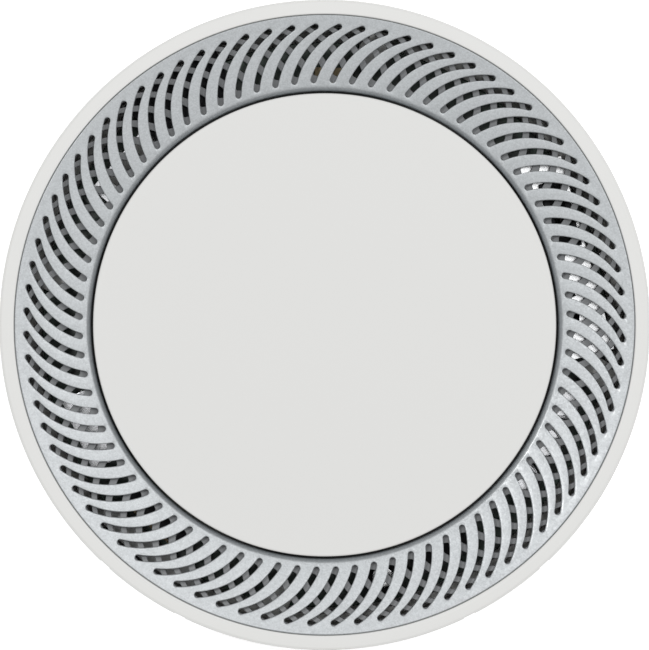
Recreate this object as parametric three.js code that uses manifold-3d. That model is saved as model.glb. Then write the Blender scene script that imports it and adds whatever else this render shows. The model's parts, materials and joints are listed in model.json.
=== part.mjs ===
// Ceiling or wall mounted air quality monitor: a round drum with a slotted air grille round a blank
// front disc, held on a bayonet mount plate. Millimetres, +Z out of the wall towards the room, origin
// at the centre of the mount plate's back. Run with the npm packages three and manifold-3d.
import * as THREE from "three";
import { mergeVertices } from "three/addons/utils/BufferGeometryUtils.js";
import Module from "manifold-3d";

// ---------------------------------------------------------------- driving dimensions
const bodyDiameter = 134.6; // across the rim of the drum
const bodyHeight = 40; // wall to the face of the front disc
const fit = 0.3; // clearance between pieces that sit on or in each other
const roundSegments = 48; // flats round a large circle
const drumSegments = 64; // flats round the drum and the disc

// Front of the drum
const rimWidth = 2.8; // flat white lip round the grille
const lipRound = 0.7; // rounding of the lip's outer edge
const rimSetback = 0.8; // the front disc stands this far proud of the rim
const partingGap = 0.35; // visible joint between the rim and the grille ring
const snapAngles = [-42.5, -26.5, 26.5, 42.5]; // degrees from the drum's lowest point
const nib = { width: 5.2, reach: 0.6, height: 7 }; // raised mark on the side, at the lowest point
const snapWindow = { width: 2.4, height: 3, depth: 1.6 }; // openings under the rim, at the snaps
const grilleWidth = 15.58; // grille ring's outer edge to its inner edge
const grilleSlope = 7.6; // degrees that the grille falls towards the disc
const grilleWall = 1.6; // thickness of the grille
const grilleRim = 1.55; // width of the grille's deep outer rim, which sits on the baffle
const grilleEdgeSink = 0.3; // the grille's outer edge lies this far below the rim
const grilleRoll = 1.3; // radius that the grille's inner edge rolls down with
const grilleLipDepth = 3.6; // how far the inner edge reaches down beside the disc
const grilleLipWall = 1.05;
const grilleEdgeChamfer = 0.3;
const discGap = 0.6; // shadow gap round the disc
const discThickness = 1.8;
const discEdge = 0.4; // chamfer of the disc's edge

// Air slots, curved arcs that sweep clockwise from the disc to the rim
const slotCount = 80;
const slotWidth = 1.2;
const slotArcInset = 1.12; // the arc's centre lies this far inside the grille's inner edge
const slotArcOvershoot = 0.15; // the whole circle would reach this far past the grille's outer edge
const slotInnerMargin = 2.15; // inner edge of the grille to the centre of a slot's round end
const slotOuterMargin = 2.45; // outer edge of the grille to the centre of a slot's round end
const slotPhase = 172.2; // degrees, the direction of the first slot's arc centre

// Baffle under the grille, with slots that sweep the other way
const baffleDrop = 0.9; // air gap between the grille and the baffle
const baffleWall = 1.2;
const baffleOpenShare = 0.57; // a baffle slot's share of the pitch
const baffleInset = 1.75; // grille's inner edge to the baffle's inner edge
const bafflePhase = 173.1; // degrees, the direction of the first baffle slot's arc centre
const baffleInnerMargin = 1.2; // baffle's inner edge to its slots' inner ends

// Drum
const shellWall = 2.4;
const shellDraft = 1.9; // how much smaller the drum's radius is at its back
const ledgeThickness = 2;
const ledgeReach = 1.9; // how far the ledge under the grille stands in from the mouth
const seamGap = 0.3; // joint between the drum and the rear cover
const bossRadius = 3;
const bossDrop = 5.2; // ledge to the top of a boss
const bossNotchGap = 0.2; // boss to the notch in the rear cover's spigot, where they meet
const notchSill = 0.1;
const bossRibWidth = 2.2;
const bossAngles = [80, 170, 260, 350];
const screwBore = 1.6; // radius of a hole that a screw passes or bites in
const screwBoreDepth = 10;

// Mount plate and bayonet
const plateThickness = 2;
const plateWall = 2; // thickness of the plate's two upstanding rings
const plateHole = 17; // radius of the cable hole
const headClearance = 0.35; // cover screw's head to the skirt and to the clamp ring
const collarWall = 2;
const collarGap = 1.3; // clamp ring to collar
const lugReach = 2.7;
const lugThickness = 1.6;
const lugCount = 3;
const plateLugAngle = 26; // degrees
const coverLugAngle = 30; // degrees
const stopAngle = 3.5; // degrees
const stopGap = 0.5; // degrees between a lug and its stop
const unlockTurn = 30; // degrees that the drum turns to come off its plate
const lugClearance = 0.5;
const boxSlotRadius = 41.65; // half the 83.3 mm hole spacing of a wall box
const boxSlotAngles = [90, 270];
const anchorSlotRadius = 30; // half the 60 mm hole spacing for wall anchors
const anchorSlotAngles = [0, 180];
const plateSlotWidth = 4.2;
const plateSlotSweep = 16; // degrees

// Rear cover
const floorThickness = 2;
const skirtWall = 1.6;
const skirtLift = 1; // shadow gap between the rear cover and the wall
const skirtTuck = 3.3; // how far the rear cover curves in towards the wall
const spigotWall = 1.7;
const spigotHeight = 2;
const postHeight = 6.5;
const postRadius = 3;
const postInset = 9.5; // main board's edge to the posts
const loosePostAngles = [178, 248, 312]; // degrees; the fourth post stands beyond the sensor's lead
const postBoreDepth = 5;

// Cable well, the pocket in the rear cover that the network plug turns in
const wellWidth = 24;
const wellLength = 38;
const wellHeadroom = 0.5; // well's roof to the disc carrier
const wellWall = 1.6;
const wellShiftX = -2; // well's centre line
const wellEndY = 10; // the end that is away from the jack
const sealWidth = 3.4; // foam seal round the well's mouth
const sealMargin = 1.2;

// Carrier and light ring under the disc
const carrierFloor = 1.5;
const carrierRingInset = 3.4; // disc's edge to the carrier's standing ring
const carrierRingWall = 1.6;
const carrierFlange = 1.4; // how far the carrier reaches out under the grille's lip
const lightGuideWall = 2;
const lightBoardThickness = 1.2;
const ribbon = { angle: 100, width: 6, thickness: 0.6 };
const ribbonSocket = { depth: 4, width: 8, height: 3 };

// Main board and the network jack
const boardThickness = 1.6;
const boardGap = 3.5; // main board's edge to the drum's inner wall
const boardClearance = 0.4;
const jackWidth = 16;
const jackLength = 16;
const jackHeight = 11.8;
const jackMouth = { width: 12, height: 7.6, depth: 11, sill: 2 };
const jackKey = { width: 6.2, height: 1.3 };
const jackContact = { gap: 0.4, height: 1 };

// Components on the main board: each has its angle in degrees and its inset from the board's edge
const processorCan = { angle: 188.6, inset: 26.1, depth: 18, width: 18, height: 2.4 };
const radioModule = { angle: 204, inset: 8.5, depth: 12, width: 16, height: 2.4 };
const powerInductor = { angle: 297, inset: 9.5, depth: 12, width: 12, height: 7 };
const gasSensor = { angle: 88, inset: 9.5, depth: 8, width: 8, height: 4 };
const capacitor = { angles: [342, 332, 322], inset: 7.5, radius: 4, height: 11, chamfer: 0.5 };
const transformer = { angle: 228, inset: 11.5, depth: 14, width: 16, height: 12 };
const winding = { height: 7, margin: 1.6, proud: 0.8 };
const microphoneSite = { angle: 283, inset: 5.5, radius: 3, height: 2 };
const boot = { wall: 1, gap: 4.45, mouth: 2.2 };
const antennaSite = { angle: 232, sweep: 24, standTop: 28, thickness: 1.2, standDepth: 2 };

// Particle sensor
const sensorDepth = 34; // along the radius
const sensorWidth = 40;
const sensorHeight = 11;
const sensorEdgeGap = 3.5; // main board's edge to the sensor
const sensorBossGap = 0.9; // sensor's lid to the boss beside it
const leadPostGap = 1.4; // lead socket to the board screw beyond it
const lidWall = 0.6;
const lidSkirt = 4;
const fanWell = { x: 5.2, y: -9.6, radius: 9.4, depth: 9 };
const fanHubRadius = 4.6;
const fanHubWall = 0.9;
const fanBladeCount = 9;
const fanBladeWall = 0.7;
const fanTipClearance = 0.7;
const fanFloorClearance = 0.8;
const fanTopClearance = 0.6;
const motorClearance = 0.4;
const shaftRadius = 0.6;
const laserRadius = 2.2;
const laserLength = 10;
const laserPocket = { y: 9, width: 5, length: 28, depth: 7 };
const inletWindow = { inset: 2.7, y: 9, length: 12, width: 3 }; // inset from the sensor's outer end
const gasketWall = 1.2;
const sensorPlug = { inset: 4, width: 8, height: 3.4, depth: 3, lift: 1.5 };
const lead = { reach: 9, width: 6, thickness: 0.9, rise: 2.6 };
const leadSocket = { depth: 8, width: 5, height: 3 };

// Gas and climate sensors
const co2Site = { angle: 139, inset: 12 };
const co2Board = { depth: 21, width: 27, thickness: 1.2 };
const co2Chamber = { depth: 16, width: 21, height: 8 };
const co2Filter = { depth: 14, width: 13.5, height: 0.8 };
const climateSite = { angle: 112, inset: 5.5, gap: 3.85 }; // gap is from the sensor to the baffle
const climateBoard = { depth: 9, width: 11, thickness: 1 };
const climateStandWall = 1.4;
const humidityChip = { side: 3, height: 1 };
const divider = { angle: 122, sweep: 21, height: 3 };

// Small parts
const screwShank = 1.25;
const screwHead = 2.5;
const screwHeadHeight = 1.6;
const lockScrewRadius = 1.25;
const lockScrewLength = 6;
const lockInsertRadius = 2.2;
const lockInsertLength = 3.4;
const lockBossLength = 5;
const lockBossWidth = 8;
const lockTipGap = 1.8; // screw's tip to the clamp ring while slack
const resetX = 30;
const resetRadius = 2;
const resetTravel = 0.5;
const resetFlange = 1; // how far the button's flange reaches past its stem
const stemRadius = 1.7;
const stemHeight = 1.9;
const switchSide = 6.2;
const switchHeight = 2.2;
const ratingSticker = { width: 36, depth: 12, thickness: 0.4, gap: 2 }; // gap to the cable seal

// ---------------------------------------------------------------- derived places
const radians = THREE.MathUtils.degToRad;
const bodyRadius = bodyDiameter / 2;

const discTop = bodyHeight;
const discBottom = discTop - discThickness;
const rimTop = discTop - rimSetback;
const mouthRadius = bodyRadius - rimWidth;
const grilleOuter = mouthRadius - partingGap;
const grilleInner = grilleOuter - grilleWidth;
const grilleEdgeTop = rimTop - grilleEdgeSink;
const discRadius = grilleInner - discGap;
const baffleInner = grilleInner + baffleInset;
const grilleRimStart = grilleOuter - grilleRim;
const slotArcRadius = grilleWidth + slotArcInset + slotArcOvershoot;
const slotArcCentre = grilleInner - slotArcInset;

const plateTop = plateThickness;
const coverLugBottom = plateTop + lugClearance;
const coverLugTop = coverLugBottom + lugThickness;
const plateLugBottom = coverLugTop + fit;
const plateLugTop = plateLugBottom + lugThickness;
const floorBottom = plateLugTop + lugClearance;
const floorTop = floorBottom + floorThickness;
const shellBottom = floorTop - seamGap;
const backRadius = bodyRadius - shellDraft;
const shellInnerBack = backRadius - shellWall;
const skirtRadius = backRadius - skirtTuck;
const skirtInner = skirtRadius - skirtWall;
const bossCircle = skirtInner - screwHead - headClearance;
const clampOuter = bossCircle - screwHead - headClearance;
const collarOuter = clampOuter - plateWall - collarGap;
const collarInner = collarOuter - collarWall;
const plateLugTip = collarInner - lugClearance;
const bayonetOuter = plateLugTip - lugReach;
const bayonetInner = bayonetOuter - plateWall;
const coverLugTip = bayonetOuter + lugClearance;

const lockHeight = (skirtLift + floorBottom) / 2;
const lockBossInner = skirtRadius - skirtWall / 2 - lockBossLength; // distance from the axis

const boardBottom = floorTop + postHeight;
const boardTop = boardBottom + boardThickness;
const boardRadius = shellInnerBack - boardGap;
const postCircle = boardRadius - postInset;
const partsFloor = boardTop + fit; // underside of what stands on the main board

const wellMinX = wellShiftX - wellWidth / 2;
const wellMaxX = wellShiftX + wellWidth / 2;
const wellMinY = wellEndY - wellLength;
const jackFront = wellMinY - 2 * fit;

const sensorCentre = boardRadius - sensorEdgeGap - sensorDepth / 2;
const sensorSide = sensorWidth / 2 + fit + lidWall; // sensor's axis to the outside of its lid
const sensorTop = partsFloor + sensorHeight;
const lidTop = sensorTop + fit + lidWall;
const inletX = sensorDepth / 2 - inletWindow.inset;

// The particle sensor stands beside the last boss, and the first post beyond the sensor's lead
const degreesAside = (aside, radius) => THREE.MathUtils.radToDeg(Math.asin(aside / radius));
const bossAside = sensorSide + sensorBossGap + bossRadius;
const sensorAngle = bossAngles.at(-1) - 360 + degreesAside(bossAside, bossCircle);
const leadPostAside = sensorSide + lead.reach + leadSocket.width / 2 + leadPostGap + screwHead;
const postAngles = [sensorAngle + degreesAside(leadPostAside, postCircle), ...loosePostAngles];

// Height of the grille's upper surface at a radius: a shallow cone that falls towards the disc.
const grilleTopAt = (radius) => grilleEdgeTop - (grilleOuter - radius) * Math.tan(radians(grilleSlope));
const baffleTopAt = (radius) => grilleTopAt(radius) - grilleWall - baffleDrop;
const lipBottom = grilleTopAt(grilleInner) - grilleLipDepth;
const ledgeTop = baffleTopAt(grilleRimStart) - baffleWall - fit;
const bossTop = ledgeTop - bossDrop;
const baffleUnderside = baffleTopAt(baffleInner) - baffleWall; // at its lowest, inner edge
const carrierTop = lipBottom - fit;
const carrierBottom = carrierTop - carrierFloor;
const carrierRingOuter = discRadius - carrierRingInset;
const lightInner = carrierRingOuter + fit + 0.1;
const lightOuter = lightInner + lightGuideWall;
const lightBoardTop = carrierTop + fit + lightBoardThickness;
const ribbonCentre = (lightInner + lightOuter) / 2;
const wellTop = carrierBottom - wellHeadroom;
const wellRoof = wellTop - wellWall;

// ---------------------------------------------------------------- materials
const material = (color, roughness, metalness = 0) =>
  new THREE.MeshStandardMaterial({ color, roughness, metalness });
const materials = {
  shellWhite: material(0xe4e4e2, 0.45),
  discWhite: material(0xe0e0de, 0.5),
  silverPaint: material(0xbec4c8, 0.35, 0.3),
  darkGrey: material(0x5c6064, 0.6),
  blackPlastic: material(0x17181a, 0.5),
  steel: material(0xb4b6b8, 0.3, 1),
  zincSteel: material(0xc6c8ca, 0.35, 1),
  brass: material(0xc2a15a, 0.3, 1),
  gold: material(0xd0aa55, 0.25, 1),
  circuitBoard: material(0x1c5a3a, 0.5),
  chipBlack: material(0x202124, 0.4),
  whitePlastic: material(0xeeeeea, 0.5),
  clearGuide: material(0xdfe6ea, 0.2),
  foam: material(0x2c2d2f, 0.95),
  rubber: material(0x1f2022, 0.8),
  label: material(0xdadada, 0.5),
  aluminium: material(0xc9ccd0, 0.3, 1),
  ferrite: material(0x3a3a3c, 0.7),
  copperTape: material(0xc9a04a, 0.45, 0.2),
  lead: material(0xd8d8d4, 0.6),
};

// ---------------------------------------------------------------- solids
const wasm = await Module();
wasm.setup();

// A closed three.js geometry as a solid. Faces that collapse on a lathe's axis are dropped.
function solid(geometry) {
  const flat = geometry.index ? geometry.toNonIndexed() : geometry;
  const bare = new THREE.BufferGeometry().setAttribute("position", flat.getAttribute("position"));
  const merged = mergeVertices(bare, 1e-4);
  const corners = merged.index.array;
  const kept = [];
  for (let i = 0; i < corners.length; i += 3) {
    const [a, b, c] = [corners[i], corners[i + 1], corners[i + 2]];
    if (a !== b && b !== c && a !== c) kept.push(a, b, c);
  }
  const triVerts = new Uint32Array(kept);
  return new wasm.Manifold(
    new wasm.Mesh({ numProp: 3, vertProperties: merged.attributes.position.array, triVerts }),
  );
}

function geometryOf(made) {
  const { numProp, numVert, vertProperties, triVerts } = made.getMesh();
  const positions = new Float32Array(numVert * 3);
  for (let i = 0; i < numVert; i++) {
    positions.set(vertProperties.subarray(i * numProp, i * numProp + 3), i * 3);
  }
  const geometry = new THREE.BufferGeometry();
  geometry.setAttribute("position", new THREE.BufferAttribute(positions, 3));
  geometry.setIndex(new THREE.BufferAttribute(triVerts, 1));
  return geometry;
}

// A solid of revolution about Z. profile is a closed loop of [radius, z] points, in either direction.
function revolve(profile, segments = roundSegments) {
  const area = profile.reduce((sum, [r, z], i) => {
    const [nextR, nextZ] = profile[(i + 1) % profile.length];
    return sum + r * nextZ - nextR * z;
  }, 0);
  const ordered = area > 0 ? profile : [...profile].reverse();
  const points = [...ordered, ordered[0]].map(([r, z]) => new THREE.Vector2(r, z));
  return solid(new THREE.LatheGeometry(points, segments).rotateX(Math.PI / 2));
}

// A box by its lowest and highest corners.
function box(low, high) {
  const size = high.map((value, i) => value - low[i]);
  const geometry = new THREE.BoxGeometry(...size);
  return solid(geometry.translate(...low.map((value, i) => value + size[i] / 2)));
}

// A box centred on Z that stands at a height. depth is along X and width along Y.
function standingBox({ depth, width, height }, bottom = 0) {
  return box([-depth / 2, -width / 2, bottom], [depth / 2, width / 2, bottom + height]);
}

function cylinder(radius, bottom, top, segments = 16, x = 0, y = 0) {
  const geometry = new THREE.CylinderGeometry(radius, radius, top - bottom, segments);
  return solid(geometry.rotateX(Math.PI / 2).translate(x, y, (bottom + top) / 2));
}

// A flat outline pulled up from bottom to top.
function prism(points, bottom, top) {
  const shape = new THREE.Shape(points.map(([x, y]) => new THREE.Vector2(x, y)));
  const geometry = new THREE.ExtrudeGeometry(shape, { depth: top - bottom, bevelEnabled: false });
  return solid(geometry.translate(0, 0, bottom));
}

const polar = (radius, angle, centreX = 0, centreY = 0) => [
  centreX + radius * Math.cos(radians(angle)),
  centreY + radius * Math.sin(radians(angle)),
];

// A flat strip whose middle follows [y, z] points, centred on X and as wide along X as given.
function bentStrip(path, thickness, width) {
  const sides = path.map(([y, z], i) => {
    const before = path[Math.max(i - 1, 0)];
    const after = path[Math.min(i + 1, path.length - 1)];
    const run = Math.hypot(after[0] - before[0], after[1] - before[1]);
    const offset = thickness / 2 / run;
    return [y, z, (before[1] - after[1]) * offset, (after[0] - before[0]) * offset];
  });
  const upper = sides.map(([y, z, dy, dz]) => [y + dy, z + dz]);
  const lower = sides.map(([y, z, dy, dz]) => [y - dy, z - dz]).reverse();
  return prism([...lower.reverse(), ...upper.reverse()], -width / 2, width / 2).rotate([90, 0, 90]);
}

// Points along an arc about a centre, from one angle to another, in degrees.
function arcPoints(radius, from, to, steps, centreX = 0, centreY = 0) {
  const angles = Array.from({ length: steps + 1 }, (_, i) => from + ((to - from) * i) / steps);
  return angles.map((angle) => polar(radius, angle, centreX, centreY));
}

// A block between two radii, centred on an angle.
function sector(inner, outer, centre, sweep, bottom, top, steps = 3) {
  const [from, to] = [centre - sweep / 2, centre + sweep / 2];
  const outline = [...arcPoints(outer, from, to, steps), ...arcPoints(inner, to, from, steps)];
  return prism(outline, bottom, top);
}

// A slot with round ends that follows an arc. The arc's centre, radius and two end angles are given.
function arcSlot(centre, radius, from, to, width, bottom, top, steps = 4, capSteps = 3) {
  const half = width / 2;
  const endCap = (angle, turn) => {
    const middle = polar(radius, angle, ...centre);
    return arcPoints(half, turn, turn + 180, capSteps, ...middle);
  };
  const outline = [
    ...arcPoints(radius + half, from, to, steps, ...centre),
    ...endCap(to, to).slice(1, -1),
    ...arcPoints(radius - half, to, from, steps, ...centre),
    ...endCap(from, from + 180).slice(1, -1),
  ];
  return prism(outline, bottom, top);
}

const joined = (first, ...rest) => rest.reduce((sum, next) => sum.add(next), first);
const cut = (from, ...tools) => tools.reduce((left, tool) => left.subtract(tool), from);
const ringOf = (count, make) => Array.from({ length: count }, (_, i) => make((360 * i) / count, i));

// ---------------------------------------------------------------- scene graph
const monitor = new THREE.Group();

function addPart(name, made, finish, parent = monitor) {
  const mesh = new THREE.Mesh(geometryOf(made), finish);
  mesh.name = name;
  parent.add(mesh);
  return mesh;
}

// A frame on the main board whose X axis points outwards along an angle.
function outwardFrame(angle, radius, height) {
  const frame = new THREE.Group();
  frame.position.set(...polar(radius, angle), height);
  frame.rotation.z = radians(angle);
  monitor.add(frame);
  return frame;
}

// ---------------------------------------------------------------- mount plate
function plateSlot(radius, angle) {
  const [from, to] = [angle - plateSlotSweep / 2, angle + plateSlotSweep / 2];
  return arcSlot([0, 0], radius, from, to, plateSlotWidth, -1, plateTop + 1);
}

function mountPlate() {
  const clampInner = clampOuter - plateWall;
  const plate = revolve([
    [plateHole, 0],
    [clampOuter, 0],
    [clampOuter, plateLugTop],
    [clampInner, plateLugTop],
    [clampInner, plateTop],
    [bayonetOuter, plateTop],
    [bayonetOuter, plateLugTop],
    [bayonetInner, plateLugTop],
    [bayonetInner, plateTop],
    [plateHole, plateTop],
  ]);
  const lugs = ringOf(lugCount, (angle) =>
    sector(bayonetOuter - 0.4, plateLugTip, angle, plateLugAngle, plateLugBottom, plateLugTop),
  );
  const slots = [
    ...boxSlotAngles.map((angle) => plateSlot(boxSlotRadius, angle)),
    ...anchorSlotAngles.map((angle) => plateSlot(anchorSlotRadius, angle)),
  ];
  addPart("mount_plate", cut(joined(plate, ...lugs), ...slots), materials.zincSteel);
}

// Foam frame that closes the cable well against draughts from inside the wall. It stays inside the
// plate's bayonet ring.
function cableSeal() {
  const [bottom, top] = [plateTop + fit, floorBottom - fit];
  const frameAt = (margin, low, high) =>
    box([wellMinX - margin, wellMinY - margin, low], [wellMaxX + margin, wellEndY + margin, high]);
  const outside = frameAt(sealMargin + sealWidth, bottom, top);
  const inside = frameAt(sealMargin, bottom - 1, top + 1);
  const ringBore = cylinder(bayonetInner - fit, bottom - 1, top + 1, roundSegments);
  addPart("cable_seal", cut(outside, inside).intersect(ringBore), materials.foam);
}

// ---------------------------------------------------------------- rear cover
function coverProfile() {
  const tuckSteps = 4;
  const coverEdge = shellBottom - seamGap;
  const tuck = Array.from({ length: tuckSteps + 1 }, (_, i) => {
    const turn = (Math.PI / 2) * (i / tuckSteps);
    return [
      skirtRadius + skirtTuck * Math.cos(turn),
      coverEdge - (coverEdge - skirtLift) * Math.sin(turn),
    ];
  });
  return [
    [0, floorBottom],
    [collarInner, floorBottom],
    [collarInner, plateTop + fit],
    [collarOuter, plateTop + fit],
    [collarOuter, floorBottom],
    [skirtInner, floorBottom],
    [skirtInner, skirtLift],
    ...tuck.reverse(),
    [shellInnerBack - fit, coverEdge],
    [shellInnerBack - fit, floorTop + spigotHeight],
    [shellInnerBack - fit - spigotWall, floorTop + spigotHeight],
    [shellInnerBack - fit - spigotWall, floorTop],
    [0, floorTop],
  ];
}

function rearCover() {
  const wellOutside = box(
    [wellMinX - wellWall, wellMinY - wellWall, floorBottom],
    [wellMaxX + wellWall, wellEndY + wellWall, wellTop],
  );
  const wellInside = box([wellMinX, wellMinY, floorBottom - 1], [wellMaxX, wellEndY, wellRoof]);
  const jackWindow = box(
    [wellShiftX - jackWidth / 2 - boardClearance, wellMinY - wellWall - 1, boardTop],
    [wellShiftX + jackWidth / 2 + boardClearance, wellMinY + 1, partsFloor + jackHeight + boardClearance],
  );
  const lugs = ringOf(lugCount, (angle) =>
    sector(coverLugTip, collarInner + 0.4, angle, coverLugAngle, coverLugBottom, coverLugTop),
  );
  const stopReach = plateLugAngle / 2 + stopAngle / 2 + stopGap;
  const stopAt = (centre) =>
    sector(coverLugTip, collarInner + 0.4, centre, stopAngle, coverLugBottom, floorBottom + 0.4, 1);
  const stops = ringOf(lugCount, (angle) => stopAt(angle + stopReach));
  const releaseStops = ringOf(lugCount, (angle) => stopAt(angle - stopReach - unlockTurn));
  const posts = postAngles.map((angle) =>
    cylinder(postRadius, floorBottom + 0.5, boardBottom - fit, 14, ...polar(postCircle, angle)),
  );
  const postBores = postAngles.map((angle) =>
    cylinder(screwBore, boardBottom - fit - postBoreDepth, boardBottom, 10, ...polar(postCircle, angle)),
  );
  const screwHoles = bossAngles.map((angle) =>
    cylinder(screwBore, floorBottom - 1, floorTop + 1, 10, ...polar(bossCircle, angle)),
  );
  const lockBoss = box(
    [-lockBossWidth / 2, -skirtRadius + skirtWall / 2, skirtLift],
    [lockBossWidth / 2, -lockBossInner, floorBottom + 0.5],
  );
  const lockBore = lockCylinder(lockInsertRadius + fit, backRadius, lockBossInner - 1);
  const resetHole = cylinder(resetRadius + fit, floorBottom - 1, floorTop + 1, 14, resetX, 0);
  const [notchRadius, notchBottom] = [bossRadius + bossNotchGap, floorTop + notchSill];
  const bossNotches = bossAngles.map((angle) =>
    cylinder(notchRadius, notchBottom, floorTop + spigotHeight + 1, 14, ...polar(bossCircle, angle)),
  );
  const bayonet = [...lugs, ...stops, ...releaseStops];
  const cover = joined(revolve(coverProfile()), wellOutside, ...posts, lockBoss, ...bayonet);
  const holes = [...postBores, ...screwHoles, ...bossNotches, lockBore, resetHole];
  addPart("rear_cover", cut(cover, wellInside, jackWindow, ...holes), materials.shellWhite);
}

// A cylinder along Y at the lock screw's height, between two distances from the axis on the -Y side.
function lockCylinder(radius, outer, inner, segments = 14) {
  const geometry = new THREE.CylinderGeometry(radius, radius, outer - inner, segments);
  return solid(geometry.translate(0, -(outer + inner) / 2, lockHeight));
}

// ---------------------------------------------------------------- drum
function housingShell() {
  const shellInnerTop = shellInnerBack + shellDraft / 2;
  const ledgeRadius = mouthRadius - ledgeReach;
  const drum = revolve(
    [
      [mouthRadius, rimTop],
      [bodyRadius - lipRound, rimTop],
      [bodyRadius - lipRound * 0.29, rimTop - lipRound * 0.29],
      [bodyRadius, rimTop - lipRound],
      [backRadius, shellBottom],
      [shellInnerBack, shellBottom],
      [shellInnerTop, ledgeTop - ledgeThickness - 1],
      [ledgeRadius, ledgeTop - ledgeThickness],
      [ledgeRadius, ledgeTop],
      [mouthRadius, ledgeTop],
    ],
    drumSegments,
  );
  const bossBottom = floorTop + fit;
  const bosses = bossAngles.map((angle) =>
    cylinder(bossRadius, bossBottom, bossTop, 14, ...polar(bossCircle, angle)),
  );
  const ribBite = 0.7; // how far a rib runs into the boss and into the wall
  const ribs = bossAngles.map((angle) =>
    box(
      [bossCircle + bossRadius - ribBite, -bossRibWidth / 2, floorTop + spigotHeight + fit],
      [shellInnerBack + ribBite, bossRibWidth / 2, bossTop - fit],
    ).rotate([0, 0, angle]),
  );
  const bores = bossAngles.map((angle) =>
    cylinder(screwBore, bossBottom - 1, bossBottom + screwBoreDepth, 10, ...polar(bossCircle, angle)),
  );
  const windowTop = rimTop - lipRound * 0.6;
  const windows = snapAngles.map((angle) =>
    box(
      [-snapWindow.width / 2, -bodyRadius - 1, windowTop - snapWindow.height],
      [snapWindow.width / 2, -bodyRadius + snapWindow.depth, windowTop],
    ).rotate([0, 0, angle]),
  );
  const nibTop = rimTop - lipRound * 2;
  const nibBlock = box(
    [-nib.width / 2, -bodyRadius - nib.reach, nibTop - nib.height],
    [nib.width / 2, -bodyRadius + 1, nibTop],
  );
  const shell = joined(drum, ...bosses, ...ribs, nibBlock);
  addPart("housing_shell", cut(shell, ...bores, ...windows), materials.shellWhite);
}

// ---------------------------------------------------------------- grille, baffle and disc
// Angle at an arc's centre, from the radius through it, of the arc's point at a distance from the axis.
function arcAngleAt(distance) {
  const squares = distance ** 2 - slotArcCentre ** 2 - slotArcRadius ** 2;
  return THREE.MathUtils.radToDeg(Math.acos(squares / (2 * slotArcCentre * slotArcRadius)));
}

// Curved slots round the grille.
function airSlots() {
  const from = arcAngleAt(grilleOuter - slotOuterMargin);
  const to = arcAngleAt(grilleInner + slotInnerMargin);
  const [steps, capSteps] = [3, 2];
  return ringOf(slotCount, (turn) => {
    const direction = slotPhase + turn;
    const sweep = [direction + from, direction + to];
    const centre = polar(slotArcCentre, direction);
    return arcSlot(centre, slotArcRadius, ...sweep, slotWidth, lipBottom, rimTop + 1, steps, capSteps);
  });
}

function grilleRing() {
  const rollSteps = 3;
  const roll = Array.from({ length: rollSteps + 1 }, (_, i) => {
    const turn = radians(90 * (i / rollSteps));
    const rollTop = grilleTopAt(grilleInner + grilleRoll);
    return [grilleInner + grilleRoll * (1 - Math.sin(turn)), rollTop - grilleRoll * (1 - Math.cos(turn))];
  });
  const ring = revolve(
    [
      [grilleOuter, grilleEdgeTop - grilleEdgeChamfer],
      [grilleOuter - grilleEdgeChamfer, grilleTopAt(grilleOuter - grilleEdgeChamfer)],
      ...roll,
      [grilleInner, lipBottom],
      [grilleInner + grilleLipWall, lipBottom],
      [grilleInner + grilleLipWall, grilleTopAt(grilleInner) - grilleWall],
      [grilleRimStart, grilleTopAt(grilleRimStart) - grilleWall],
      [grilleRimStart, baffleTopAt(grilleRimStart) + fit],
      [grilleOuter, baffleTopAt(grilleRimStart) + fit],
    ],
    slotCount / 2,
  );
  addPart("grille_ring", cut(ring, ...airSlots()), materials.silverPaint);
}

// Outline of one baffle slot, which keeps its share of the pitch at every radius.
function baffleSlot(direction) {
  const steps = 3;
  const [inner, outer] = [baffleInner + baffleInnerMargin, grilleRimStart - fit];
  const half = (baffleOpenShare * 180) / slotCount;
  const middle = Array.from({ length: steps + 1 }, (_, i) => {
    const radius = inner + ((outer - inner) * i) / steps;
    const squares = radius ** 2 + slotArcCentre ** 2 - slotArcRadius ** 2;
    const cosine = squares / (2 * slotArcCentre * radius);
    return [radius, direction - THREE.MathUtils.radToDeg(Math.acos(cosine))];
  });
  const before = middle.map(([radius, angle]) => polar(radius, angle - half));
  const after = middle.map(([radius, angle]) => polar(radius, angle + half));
  return prism([...before, ...after.reverse()], baffleUnderside - 1, rimTop);
}

function baffleRing() {
  const rimHeight = baffleTopAt(grilleRimStart);
  const ring = revolve(
    [
      [baffleInner, baffleTopAt(baffleInner)],
      [baffleInner, baffleUnderside],
      [grilleRimStart, rimHeight - baffleWall],
      [grilleOuter, rimHeight - baffleWall],
      [grilleOuter, rimHeight],
      [grilleRimStart, rimHeight],
    ],
    slotCount / 2,
  );
  const slots = ringOf(slotCount, (turn) => baffleSlot(bafflePhase + turn));
  addPart("baffle_ring", cut(ring, ...slots), materials.darkGrey);
}

function frontDisc() {
  const disc = revolve(
    [
      [0, discBottom],
      [discRadius, discBottom],
      [discRadius, discTop - discEdge],
      [discRadius - discEdge, discTop],
      [0, discTop],
    ],
    drumSegments,
  );
  addPart("front_disc", disc, materials.discWhite);
}

// Black dish that the disc clips on. It darkens the gap round the disc.
function discCarrier() {
  const dish = revolve([
    [0, carrierBottom],
    [grilleInner + carrierFlange, carrierBottom],
    [grilleInner + carrierFlange, carrierTop],
    [carrierRingOuter, carrierTop],
    [carrierRingOuter, discBottom - fit],
    [carrierRingOuter - carrierRingWall, discBottom - fit],
    [carrierRingOuter - carrierRingWall, carrierTop],
    [0, carrierTop],
  ]);
  const reach = ribbon.thickness / 2 + fit;
  const ribbonSlot = box(
    [ribbonCentre - reach, -ribbon.width / 2 - fit, carrierBottom - 1],
    [ribbonCentre + reach, ribbon.width / 2 + fit, carrierTop + 1],
  );
  addPart("disc_carrier", cut(dish, ribbonSlot.rotate([0, 0, ribbon.angle])), materials.blackPlastic);
}

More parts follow.
